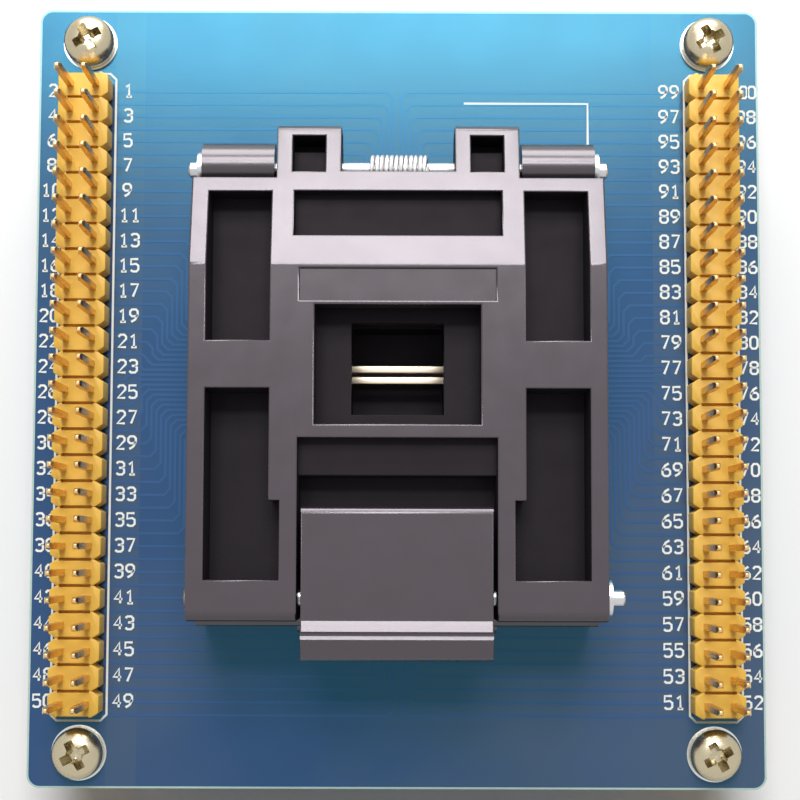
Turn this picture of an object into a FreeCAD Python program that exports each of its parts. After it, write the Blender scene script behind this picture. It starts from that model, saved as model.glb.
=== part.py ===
import FreeCAD, Part
import math
import os
import re

import Sketcher

# Clamshell test socket for a 100-lead flat chip at 0.5 mm pitch, soldered on an adapter board
# with two 2 x 25 pin headers and four corner standoffs. Millimetres, +Z up, +Y towards the hinge.
# The origin is at the centre of the board's outline, on the surface that the standoffs stand on.

os.makedirs("parts", exist_ok=True)
doc = FreeCAD.newDocument("ProgrammingSocket")
sheet = doc.addObject("Spreadsheet::Sheet", "Sizes")

# Driving dimensions. A place along Y is measured from the board's centre, and a height from the
# board's top face.
SIZES = {
    "board_side_margin": 4.95,
    "board_end_margin": 7.1,
    "board_thickness": 1.6,
    "board_corner_radius": 1.3,
    "board_hole_diameter": 3.2,
    "screw_inset": 0.15,
    "screw_end_gap": 3.65,
    "standoff_length": 10.0,
    "standoff_flats": 5.5,
    "standoff_bore": 2.5,
    "screw_thread_diameter": 2.9,
    "screw_thread_play": 0.05,
    "screw_shank_length": 5.0,
    "screw_head_diameter": 5.0,
    "screw_crown_diameter": 3.9,
    "screw_head_length": 2.2,
    "screw_recess_width": 0.62,
    "screw_recess_span": 2.7,
    "screw_recess_depth": 1.2,
    "header_spacing": 62.5,
    "header_pitch": 2.54,
    "header_rows": 25,
    "header_body_width": 4.95,
    "header_body_thickness": 2.5,
    "header_notch_depth": 0.45,
    "header_notch_half": 0.62,
    "header_slot_length": 3.2,
    "header_slot_width": 0.28,
    "header_slot_depth": 0.7,
    "pin_side": 0.64,
    "pin_reach": 6.0,
    "pin_tail": 1.5,
    "pin_chamfer": 0.2,
    "chip_offset": 1.3,
    "chip_side": 14.0,
    "chip_play": 0.1,
    "lead_pitch": 0.5,
    "leads_per_side": 25,
    "lead_reach": 0.6,
    "contact_thickness": 0.2,
    "contact_width": 0.36,
    "contact_bow": 2.85,
    "shoulder_drop": 0.6,
    "contact_tail_inset": 1.25,
    "contact_tail_length": 1.3,
    "base_width": 38.0,
    "base_front": 22.7,
    "base_top_height": 6.9,
    "base_edge": 0.6,
    "base_groove": 1.0,
    "well_gap": 0.65,
    "tip_drop": 1.45,
    "retainer_thickness": 1.0,
    "retainer_gap": 0.1,
    "tail_slot_width": 0.7,
    "nest_opening": 8.8,
    "nest_wall": 2.1,
    "nest_seat_drop": 0.15,
    "nest_seat_thickness": 0.9,
    "nest_post_rise": 1.2,
    "nest_post_wall": 0.7,
    "bar_diameter": 0.72,
    "bar_spacing": 1.07,
    "bar_drop": 1.05,
    "bar_seat": 0.9,
    "bar_play": 0.02,
    "comb_cover": 1.3,
    "comb_gap": 0.1,
    "hinge_axis": 20.65,
    "hinge_rise": 0.1,
    "hinge_shaft_diameter": 1.5,
    "hinge_play": 0.05,
    "hinge_shaft_overhang": 0.95,
    "hinge_setback": 3.45,
    "barrel_diameter": 5.0,
    "barrel_inset": 0.5,
    "barrel_clearance": 0.3,
    "ear_inner": 5.3,
    "ear_width": 6.0,
    "ear_side_gap": 0.35,
    "ear_side_wall": 1.5,
    "ear_reach": 3.55,
    "ear_bar": 1.1,
    "ear_radius": 2.3,
    "ear_edge": 0.4,
    "ear_floor": 1.4,
    "ear_floor_reach": 1.45,
    "ear_under_floor": 0.6,
    "lip_setback": 1.05,
    "lip_thickness": 0.9,
    "clip_thickness": 0.5,
    "clip_diameter": 3.4,
    "clip_gap": 0.05,
    "spring_wire": 0.42,
    "spring_coil_diameter": 2.55,
    "spring_length": 5.9,
    "spring_turns": 9,
    "spring_end_gap": 0.05,
    "spring_facets": 8,
    "small_round_sides": 12,
    "lid_gap": 0.1,
    "lid_overhang": 0.1,
    "lid_thickness": 6.0,
    "lid_rear_thickness": 4.2,
    "lid_rear_setback": 1.7,
    "lid_front_setback": 0.7,
    "lid_front_bevel": 0.75,
    "lid_knee": 10.5,
    "lid_floor": 1.4,
    "lid_roof": 2.3,
    "lid_rim": 1.65,
    "lid_rear_rim": 1.43,
    "lid_front_bar": 3.75,
    "crossbar_width": 4.4,
    "rail_width": 1.65,
    "rail_step": 1.0,
    "rail_step_place": 11.1,
    "rear_pocket_wall": 2.15,
    "rear_pocket_length": 4.29,
    "rear_pocket_rim": 1.38,
    "panel_half": 8.95,
    "panel_edge": 0.4,
    "panel_depth": 0.3,
    "window_width": 15.1,
    "window_length": 10.9,
    "window_bar": 1.25,
    "pad_gap": 0.3,
    "pad_margin": 0.35,
    "pad_thickness": 1.8,
    "pad_opening": 8.6,
    "ridge_width": 0.8,
    "ridge_gap": 0.4,
    "pad_pin_diameter": 1.0,
    "pad_pin_head": 1.9,
    "pad_pin_play": 0.06,
    "pad_spring_length": 1.4,
    "pad_spring_diameter": 1.9,
    "pad_spring_wire": 0.25,
    "pad_spring_turns": 2,
    "bay_wall": 1.3,
    "bay_shelf": 0.8,
    "bay_gate_gap": 0.9,
    "latch_half": 8.7,
    "latch_side_gap": 0.35,
    "latch_lever": 8.3,
    "latch_drop": 0.1,
    "latch_plate": 1.7,
    "latch_reach": 2.85,
    "latch_wall": 1.2,
    "grip_ridge_length": 1.05,
    "grip_ridge_rise": 0.36,
    "latch_hook_depth": 1.5,
    "latch_hook_play": 0.1,
    "latch_axis_inset": 2.1,
    "latch_axis_rise": 3.1,
    "latch_boss_radius": 1.6,
    "latch_shaft_diameter": 1.5,
    "latch_shaft_stub": 1.75,
    "latch_head_diameter": 2.4,
    "latch_head_length": 0.4,
    "latch_spring_lever": 4.7,
    "latch_spring_diameter": 2.6,
    "latch_spring_wire": 0.3,
    "latch_spring_turns": 3,
    "catch_reach": 0.65,
    "catch_height": 4.3,
    "catch_thickness": 1.2,
    "catch_overlap": 0.8,
}

# Places and sizes that follow from the driving dimensions.
DERIVED = {
    "header_length": "header_rows * header_pitch",
    "board_width": "header_spacing + 2 * board_side_margin",
    "board_length": "header_length + 2 * board_end_margin",
    "screw_spacing_across": "header_spacing - 2 * screw_inset",
    "screw_spacing_along": "header_length + 2 * screw_end_gap",
    "lead_row": "leads_per_side * lead_pitch",
    "contact_tip_reach": "chip_side / 2 + lead_reach",
    "contact_knee_reach": "contact_tip_reach + contact_bow",
    "contact_tail_reach": "contact_knee_reach - contact_tail_inset",
    "contact_tip_height": "base_top_height - tip_drop",
    "base_well_side": "2 * (contact_knee_reach + well_gap)",
    "base_rear": "hinge_axis - hinge_setback",
    "nest_stem_side": "nest_opening + 2 * nest_wall",
    "nest_seat_height": "contact_tip_height - nest_seat_drop",
    "bar_height": "nest_seat_height - bar_drop",
    "bar_length": "nest_opening + 2 * bar_seat",
    "comb_inner_side": "2 * (contact_tip_reach + comb_cover)",
    "comb_bottom_height": "contact_tip_height + nest_seat_drop",
    "hinge_axis_height": "base_top_height + hinge_rise",
    "hinge_shaft_length": "base_width + 2 * hinge_shaft_overhang",
    "barrel_outer": "base_width / 2 - barrel_inset",
    "barrel_inner": "ear_outer + ear_side_gap",
    "ear_outer": "ear_inner + ear_width",
    "lid_width": "base_width + 2 * lid_overhang",
    "lid_front": "base_front - lid_front_setback",
    "lid_rear": "hinge_axis - lid_rear_setback",
    "lid_bottom_height": "base_top_height + lid_gap",
    "lid_top_height": "lid_bottom_height + lid_thickness",
    "lid_slope": "(lid_thickness - lid_rear_thickness) / (lid_rear - lid_knee)",
    "lid_floor_height": "lid_bottom_height + lid_floor",
    "lid_roof_height": "lid_top_height - lid_roof",
    "pocket_outer": "lid_width / 2 - lid_rim",
    "bay_half": "latch_half + latch_side_gap",
    "lower_pocket_inner": "bay_half + rail_width",
    "pocket_inner": "lower_pocket_inner + rail_step",
    "pad_pin_place": "(lead_row - chip_play + pad_pin_head) / 2 + pad_pin_play",
    "pad_side": "2 * pad_pin_place + pad_pin_head + 2 * pad_margin",
    "pad_top_height": "lid_roof_height - pad_spring_length",
    "pad_bottom_height": "pad_top_height - pad_thickness",
    "latch_axis": "latch_axis_inset - lid_front",
    "latch_axis_height": "lid_bottom_height + latch_axis_rise",
    "latch_rear": "latch_axis + latch_lever",
    "latch_front": "-base_front - latch_reach",
    "latch_top_height": "lid_top_height - latch_drop",
    "hook_top_height": "catch_height - catch_overlap / 2",
}

# The pad's two pins stand at opposite corners, given as signs along X and Y.
PAD_PINS = ((1, 1), (-1, -1))

for row, (alias, number) in enumerate(SIZES.items(), start=1):
    sheet.set("A%d" % row, alias.replace("_", " "))
    sheet.set("B%d" % row, str(number))
    sheet.setAlias("B%d" % row, alias)
doc.recompute()


def cells(text):
    """Write an expression of size names as one of the sheet's cells."""
    def cell(match):
        word = match.group()
        if word in DERIVED:
            return "(" + cells(DERIVED[word]) + ")"
        return "Sizes." + word if word in SIZES else word

    return re.sub(r"[A-Za-z_]+", cell, text)


def size(text):
    """The present value of an expression of size names."""
    found = sheet.evalExpression(cells(text))
    return float(getattr(found, "Value", found))


def bind(item, prop, text):
    item.setExpression(prop, cells(text))


def lift(item, text):
    """Place a sub-part that is drawn from the board's top face, plus the given height."""
    bind(item, "Placement.Base.z", "standoff_length + board_thickness + (%s)" % text)


def plane(body, role):
    return next(item for item in body.Origin.OriginFeatures if item.Role == role)


def new_body(name):
    body = doc.addObject("PartDesign::Body", name)
    body.Label = name
    body.AllowCompound = True
    return body


def outline(body, name, role, points, offset="0"):
    """A closed sketch whose corners are pairs of expressions, on one of the body's planes."""
    sketch = body.newObject("Sketcher::SketchObject", name)
    sketch.AttachmentSupport = [(plane(body, role), "")]
    sketch.MapMode = "FlatFace"
    bind(sketch, "AttachmentOffset.Base.z", offset)
    corners = [FreeCAD.Vector(size(x), size(y), 0) for x, y in points]
    count = len(corners)
    for index in range(count):
        sketch.addGeometry(Part.LineSegment(corners[index], corners[(index + 1) % count]), False)
    for index in range(count):
        sketch.addConstraint(Sketcher.Constraint("Coincident", index, 2, (index + 1) % count, 1))
    for index, (x, y) in enumerate(points):
        for kind, text, place in (("DistanceX", x, corners[index].x), ("DistanceY", y, corners[index].y)):
            number = sketch.addConstraint(Sketcher.Constraint(kind, -1, 1, index, 1, place))
            bind(sketch, "Constraints[%d]" % number, text)
    return sketch


def rectangle(x0, x1, y0, y1):
    return [(x0, y0), (x1, y0), (x1, y1), (x0, y1)]


def centred(width, length):
    return rectangle("-(%s) / 2" % width, "(%s) / 2" % width, "-(%s) / 2" % length, "(%s) / 2" % length)


def ring(body, name, role, x, y, diameter, offset="0"):
    """A sketch of one circle."""
    sketch = body.newObject("Sketcher::SketchObject", name)
    sketch.AttachmentSupport = [(plane(body, role), "")]
    sketch.MapMode = "FlatFace"
    bind(sketch, "AttachmentOffset.Base.z", offset)
    centre = FreeCAD.Vector(size(x), size(y), 0)
    sketch.addGeometry(Part.Circle(centre, FreeCAD.Vector(0, 0, 1), size(diameter) / 2), False)
    sketch.addConstraint(Sketcher.Constraint("Diameter", 0, size(diameter)))
    bind(sketch, "Constraints[0]", diameter)
    for kind, text, place in (("DistanceX", x, centre.x), ("DistanceY", y, centre.y)):
        number = sketch.addConstraint(Sketcher.Constraint(kind, -1, 1, 0, 3, place))
        bind(sketch, "Constraints[%d]" % number, text)
    return sketch


def pad(body, sketch, length, both_ways=False):
    feature = body.newObject("PartDesign::Pad", "Pad_" + sketch.Name)
    feature.Profile = sketch
    bind(feature, "Length", length)
    if both_ways:
        feature.SideType = "Symmetric"
    return feature


def pocket(body, sketch, length, both_ways=False, upwards=False):
    feature = body.newObject("PartDesign::Pocket", "Pocket_" + sketch.Name)
    feature.Profile = sketch
    bind(feature, "Length", length)
    feature.Reversed = upwards
    if both_ways:
        feature.SideType = "Symmetric"
    return feature


def row_of(body, features, role, pitch, count, name):
    """Repeat features along one of the body's axes."""
    pattern = body.newObject("PartDesign::LinearPattern", name)
    pattern.Originals = features
    pattern.Direction = (plane(body, role), [""])
    pattern.Mode = "Spacing"
    bind(pattern, "Offset", pitch)
    bind(pattern, "Occurrences", count)
    body.Tip = pattern
    return pattern


def mirrored(body, features, role, name):
    mirror = body.newObject("PartDesign::Mirrored", name)
    mirror.Originals = features
    mirror.MirrorPlane = (plane(body, role), [""])
    body.Tip = mirror
    return mirror


def cylinder(name, diameter, length, axis, x="0", y="0", z="0"):
    """A Part cylinder along X or Z, whose centre of one end is at x, y, z above the board."""
    item = doc.addObject("Part::Cylinder", name)
    bind(item, "Radius", "(%s) / 2" % diameter)
    bind(item, "Height", length)
    if axis == "X":
        item.Placement.Rotation = FreeCAD.Rotation(FreeCAD.Vector(0, 1, 0), 90)
    bind(item, "Placement.Base.x", x)
    bind(item, "Placement.Base.y", y)
    lift(item, z)
    return item


def small_round(name, diameter, length, axis, x="0", y="0", z="0"):
    """A small round piece with flat sides, as wide across its corners as the given diameter."""
    item = doc.addObject("Part::Prism", name)
    bind(item, "Polygon", "small_round_sides")
    bind(item, "Circumradius", "(%s) / 2" % diameter)
    bind(item, "Height", length)
    if axis == "X":
        item.Placement.Rotation = FreeCAD.Rotation(FreeCAD.Vector(0, 1, 0), 90)
    bind(item, "Placement.Base.x", x)
    bind(item, "Placement.Base.y", y)
    lift(item, z)
    return item


def box(name, x, y, z, width, length, height):
    """A Part box whose low corner is at x, y, z above the board."""
    item = doc.addObject("Part::Box", name)
    bind(item, "Length", width)
    bind(item, "Width", length)
    bind(item, "Height", height)
    bind(item, "Placement.Base.x", x)
    bind(item, "Placement.Base.y", y)
    lift(item, z)
    return item


def group(name, kind, members):
    """A boolean or a plain group of several shapes, labelled as a sub-part."""
    item = doc.addObject("Part::" + kind, name)
    if kind == "Compound":
        item.Links = members
    elif kind == "Cut":
        item.Base, item.Tool = members
    else:
        item.Shapes = members
    item.Label = name
    return item


def adapter_board():
    body = new_body("adapter_board")
    lift(body, "-board_thickness")
    plate = pad(body, outline(body, "BoardOutline", "XY_Plane", centred("board_width", "board_length")),
                "board_thickness")
    doc.recompute()
    corners = [
        "Edge%d" % (index + 1)
        for index, edge in enumerate(plate.Shape.Edges)
        if abs(edge.tangentAt(edge.FirstParameter).z) > 0.9
    ]
    fillet = body.newObject("PartDesign::Fillet", "BoardCorners")
    fillet.Base = (plate, corners)
    bind(fillet, "Radius", "board_corner_radius")
    body.Tip = fillet
    for index, (sign_x, sign_y) in enumerate(((-1, -1), (1, -1), (1, 1), (-1, 1))):
        hole = ring(body, "ScrewHole%d" % index, "XY_Plane", "%d * screw_spacing_across / 2" % sign_x,
                    "%d * screw_spacing_along / 2" % sign_y, "board_hole_diameter", "board_thickness")
        pocket(body, hole, "board_thickness")
    return body


def corners_of_screws():
    for across in (-1, 1):
        for along in (-1, 1):
            yield ("%d * screw_spacing_across / 2" % across, "%d * screw_spacing_along / 2" % along)


def standoffs():
    """Four hexagonal spacers under the board, tapped through, with the corner screws' turns cut out."""
    members = []
    for index, (x, y) in enumerate(corners_of_screws()):
        prism = doc.addObject("Part::Prism", "StandoffHex%d" % index)
        prism.Polygon = 6
        bind(prism, "Circumradius", "standoff_flats / 2 / cos(30)")
        bind(prism, "Height", "standoff_length")
        bind(prism, "Placement.Base.x", x)
        bind(prism, "Placement.Base.y", y)
        bore = cylinder("StandoffBore%d" % index, "standoff_bore", "standoff_length", "Z", x, y,
                        "-board_thickness - standoff_length")
        engaged = "screw_shank_length - board_thickness + 2 * screw_thread_play"
        turns = small_round("StandoffThread%d" % index, "screw_thread_diameter + 2 * screw_thread_play", engaged,
                            "Z", x, y, "-board_thickness - (%s)" % engaged)
        bores = group("StandoffBores%d" % index, "MultiFuse", [bore, turns])
        members.append(group("Standoff%d" % index, "Cut", (prism, bores)))
    return group("standoffs", "Compound", members)


def corner_screws():
    """Four pan-head screws with a cross recess, driven through the board into the standoffs."""
    members = []
    for index, (x, y) in enumerate(corners_of_screws()):
        shank = small_round("ScrewShank%d" % index, "screw_thread_diameter",
                            "screw_shank_length + screw_head_length / 2", "Z", x, y, "-screw_shank_length")
        head = doc.addObject("Part::Cone", "ScrewHead%d" % index)
        bind(head, "Radius1", "screw_head_diameter / 2")
        bind(head, "Radius2", "screw_crown_diameter / 2")
        bind(head, "Height", "screw_head_length")
        bind(head, "Placement.Base.x", x)
        bind(head, "Placement.Base.y", y)
        lift(head, "0")
        solid = group("ScrewSolid%d" % index, "MultiFuse", [shank, head])
        cross = [
            box("ScrewCross%d%s" % (index, axis), "%s - (%s) / 2" % (x, width), "%s - (%s) / 2" % (y, length),
                "screw_head_length - screw_recess_depth", width, length, "screw_recess_depth")
            for axis, width, length in (("X", "screw_recess_span", "screw_recess_width"),
                                        ("Y", "screw_recess_width", "screw_recess_span"))
        ]
        recess = group("ScrewRecess%d" % index, "MultiFuse", cross)
        members.append(group("Screw%d" % index, "Cut", (solid, recess)))
    return group("corner_screws", "Compound", members)


def header_body(side, name):
    """A strip of notched cells, one for each pair of pins, with a slot at each joint of two cells."""
    body = new_body(name)
    bind(body, "Placement.Base.x", "%d * header_spacing / 2" % side)
    bind(body, "Placement.Base.y", "-(header_rows - 1) * header_pitch / 2")
    lift(body, "0")
    half_x, half_y = "header_body_width / 2", "header_pitch / 2"
    neck_x, neck_y = half_x + " - header_notch_depth", half_y + " - header_notch_half"
    quarter = [(half_x, neck_y), (neck_x, half_y)]
    left = [("-(%s)" % x, y) for x, y in reversed(quarter)]
    lower = [("-(%s)" % x, "-(%s)" % y) for x, y in quarter]
    right = [(x, "-(%s)" % y) for x, y in reversed(quarter)]
    cell = pad(body, outline(body, "Cell_" + name, "XY_Plane", quarter + left + lower + right),
               "header_body_thickness")
    doc.recompute()
    row_of(body, [cell], "Y_Axis", "header_pitch", "header_rows", "Cells_" + name)
    doc.recompute()
    slot_outline = rectangle("-header_slot_length / 2", "header_slot_length / 2",
                             "(header_pitch - header_slot_width) / 2", "(header_pitch + header_slot_width) / 2")
    slot = pocket(body, outline(body, "Slot_" + name, "XY_Plane", slot_outline, "header_body_thickness"),
                  "header_slot_depth")
    doc.recompute()
    row_of(body, [slot], "Y_Axis", "header_pitch", "header_rows - 1", "Slots_" + name)
    return body


def header_pins(side, name):
    """Fifty square pins, pressed through the strip and soldered in the board, with tapered tips."""
    body = new_body(name)
    bind(body, "Placement.Base.x", "%d * header_spacing / 2" % side)
    bind(body, "Placement.Base.y", "-(header_rows - 1) * header_pitch / 2")
    lift(body, "-board_thickness - pin_tail")
    length = "pin_tail + board_thickness + header_body_thickness + pin_reach"
    for column in (-1, 1):
        middle = "%d * header_pitch / 2" % column
        section = rectangle(middle + " - pin_side / 2", middle + " + pin_side / 2", "-pin_side / 2",
                            "pin_side / 2")
        pair = pad(body, outline(body, "Stem%d_%s" % (column + 1, name), "XY_Plane", section), length)
    doc.recompute()
    level = size(length)
    ends = [
        "Edge%d" % (index + 1)
        for index, edge in enumerate(pair.Shape.Edges)
        if all(abs(corner.Point.z - level) < size("pin_chamfer") for corner in edge.Vertexes)
    ]
    tips = body.newObject("PartDesign::Chamfer", "Tips_" + name)
    tips.Base = (pair, ends)
    bind(tips, "Size", "pin_chamfer")
    doc.recompute()
    rows = row_of(body, [], "Y_Axis", "header_pitch", "header_rows", "Row_" + name)
    rows.TransformMode = "Whole shape"
    return body


def contacts(turn, name):
    """One side's row of stamped spring contacts: tail, C-shaped spring and tip."""
    body = new_body(name)
    body.Placement.Rotation = FreeCAD.Rotation(FreeCAD.Vector(0, 0, 1), turn)
    bind(body, "Placement.Base.y", "chip_offset")
    lift(body, "0")
    half = "contact_width / 2"
    tail_in, tail_out = "contact_tail_reach - " + half, "contact_tail_reach + " + half
    knee_in, knee_out = "contact_knee_reach - contact_width", "contact_knee_reach"
    low, foot = "-board_thickness - contact_tail_length", "retainer_thickness + retainer_gap"
    profile = [
        (tail_in, low),
        (tail_out, low),
        (tail_out, foot),
        (knee_out, foot + " + " + half),
        (knee_out + " - " + half, "contact_tip_height - shoulder_drop"),
        ("contact_tip_reach", "contact_tip_height"),
        (knee_in + " - " + half, "contact_tip_height - shoulder_drop - " + half),
        (knee_in, foot + " + shoulder_drop"),
        (tail_in, foot + " + " + half),
    ]
    strip = pad(body, outline(body, "Strip_" + name, "YZ_Plane", profile,
                              "(lead_pitch - lead_row) / 2"), "contact_thickness", True)
    doc.recompute()
    row_of(body, [strip], "X_Axis", "lead_pitch", "leads_per_side", "Row_" + name)
    return body


def contact_retainer():
    """The plate under the base, with a slot for each side's row of tails."""
    body = new_body("contact_retainer")
    bind(body, "Placement.Base.y", "chip_offset")
    lift(body, "0")
    side = "base_well_side - 2 * retainer_gap"
    pad(body, outline(body, "RetainerOutline", "XY_Plane", centred(side, side)), "retainer_thickness")
    half = "lead_row / 2"
    near = "contact_tail_reach - tail_slot_width / 2"
    far = "contact_tail_reach + tail_slot_width / 2"
    sides = {
        "North": rectangle("-" + half, half, near, far),
        "South": rectangle("-" + half, half, "-(%s)" % far, "-(%s)" % near),
        "East": rectangle(near, far, "-" + half, half),
        "West": rectangle("-(%s)" % far, "-(%s)" % near, "-" + half, half),
    }
    for tag, points in sides.items():
        pocket(body, outline(body, "TailSlot" + tag, "XY_Plane", points, "retainer_thickness"),
               "retainer_thickness")
    return body


def chip_nest():
    """The square pedestal that the chip sits on, with four corner posts and an open middle."""
    body = new_body("chip_nest")
    bind(body, "Placement.Base.y", "chip_offset")
    lift(body, "retainer_thickness")
    stem_top = "nest_seat_height - retainer_thickness"
    pad(body, outline(body, "NestStem", "XY_Plane", centred("nest_stem_side", "nest_stem_side")), stem_top)
    inner, outer = "(chip_side / 2 + chip_play)", "(chip_side / 2 + chip_play + nest_post_wall)"
    back = "(lead_row / 2 + chip_play)"
    foot = stem_top + " - nest_seat_thickness"
    posts = []
    for index, (sx, sy) in enumerate(((1, 1), (-1, 1), (-1, -1), (1, -1))):
        def corner(x, y, sx=sx, sy=sy):
            return ("%d * %s" % (sx, x), "%d * %s" % (sy, y))

        square = [corner(back, back), corner(outer, back), corner(outer, outer), corner(back, outer)]
        pad(body, outline(body, "PostFoot%d" % index, "XY_Plane", square, foot), "nest_seat_thickness")
        angle = [corner(inner, back), corner(outer, back), corner(outer, outer), corner(back, outer),
                 corner(back, inner), corner(inner, inner)]
        posts.append(pad(body, outline(body, "PostGuide%d" % index, "XY_Plane", angle, stem_top),
                         "nest_post_rise"))
    pocket(body, outline(body, "NestOpening", "XY_Plane", centred("nest_opening", "nest_opening"), stem_top),
           stem_top)
    half = "(bar_diameter / 2 + bar_play)"
    for index, side in enumerate((-1, 1)):
        middle = "%d * bar_spacing / 2" % side
        level = "bar_height - retainer_thickness"
        channel = rectangle("%s - %s" % (middle, half), "%s + %s" % (middle, half),
                            "%s - %s" % (level, half), "%s + %s" % (level, half))
        pocket(body, outline(body, "BarChannel%d" % index, "YZ_Plane", channel),
               "bar_length + 2 * bar_play", True)
    return body


def well_bars():
    """Two round gilt bars that bridge the open middle of the nest."""
    members = [
        small_round("WellBar%d" % index, "bar_diameter", "bar_length", "X", "-bar_length / 2",
                    "chip_offset + %d * bar_spacing / 2" % side, "bar_height")
        for index, side in enumerate((-1, 1))
    ]
    return group("well_bars", "Compound", members)


def contact_comb():
    """The square frame that covers the contacts' springs and leaves their tips free."""
    body = new_body("contact_comb")
    bind(body, "Placement.Base.y", "chip_offset")
    lift(body, "comb_bottom_height")
    side = "base_well_side - 2 * comb_gap"
    thickness = "base_top_height - comb_bottom_height"
    pad(body, outline(body, "CombOutline", "XY_Plane", centred(side, side)), thickness)
    pocket(body, outline(body, "CombOpening", "XY_Plane", centred("comb_inner_side", "comb_inner_side"),
                         thickness), thickness)
    return body


def socket_base():
    """The moulded base: a frame round the contact well, two hinge barrels and the front catch."""
    body = new_body("socket_base")
    lift(body, "0")
    edge = "base_edge"
    profile = [
        ("-base_front", "0"),
        ("base_rear", "0"),
        ("base_rear", "base_top_height"),
        ("-base_front + " + edge, "base_top_height"),
        ("-base_front", "base_top_height - " + edge),
    ]
    pad(body, outline(body, "BaseSide", "YZ_Plane", profile), "base_width", True)
    catch = [
        ("-base_front - catch_reach", "catch_height"),
        ("-base_front + " + edge, "catch_height"),
        ("-base_front + " + edge, "catch_height + catch_thickness"),
        ("-base_front - catch_reach / 3", "catch_height + catch_thickness"),
        ("-base_front - catch_reach", "catch_height + catch_thickness / 2"),
    ]
    pad(body, outline(body, "Catch", "YZ_Plane", catch), "2 * bay_half + catch_overlap", True)
    bracket = [
        ("base_rear - base_edge", "0"),
        ("hinge_axis + barrel_diameter / 2", "0"),
        ("hinge_axis + barrel_diameter / 2", "hinge_axis_height"),
        ("base_rear - base_edge", "hinge_axis_height - barrel_clearance"),
    ]
    span = "barrel_outer - barrel_inner"
    arm = pad(body, outline(body, "Bracket", "YZ_Plane", bracket, "barrel_inner"), span)
    barrel = pad(body, ring(body, "Barrel", "YZ_Plane", "hinge_axis", "hinge_axis_height",
                            "barrel_diameter", "barrel_inner"), span)
    doc.recompute()
    mirrored(body, [arm, barrel], "YZ_Plane", "BothBarrels")
    doc.recompute()
    pocket(body, ring(body, "HingeBore", "YZ_Plane", "hinge_axis", "hinge_axis_height",
                      "hinge_shaft_diameter"), "2 * barrel_outer + base_edge", True)
    low, high = "chip_offset - base_well_side / 2", "chip_offset + base_well_side / 2"
    well = rectangle("-base_well_side / 2", "base_well_side / 2", low, high)
    pocket(body, outline(body, "Well", "XY_Plane", well, "base_top_height"), "base_top_height")
    groove = rectangle("base_width / 2 - base_groove", "base_width / 2 + base_groove", low, high)
    cut = pocket(body, outline(body, "SideGroove", "XY_Plane", groove, "base_top_height / 3"),
                 "base_top_height / 3")
    doc.recompute()
    mirrored(body, [cut], "YZ_Plane", "BothGrooves")
    return body


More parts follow.
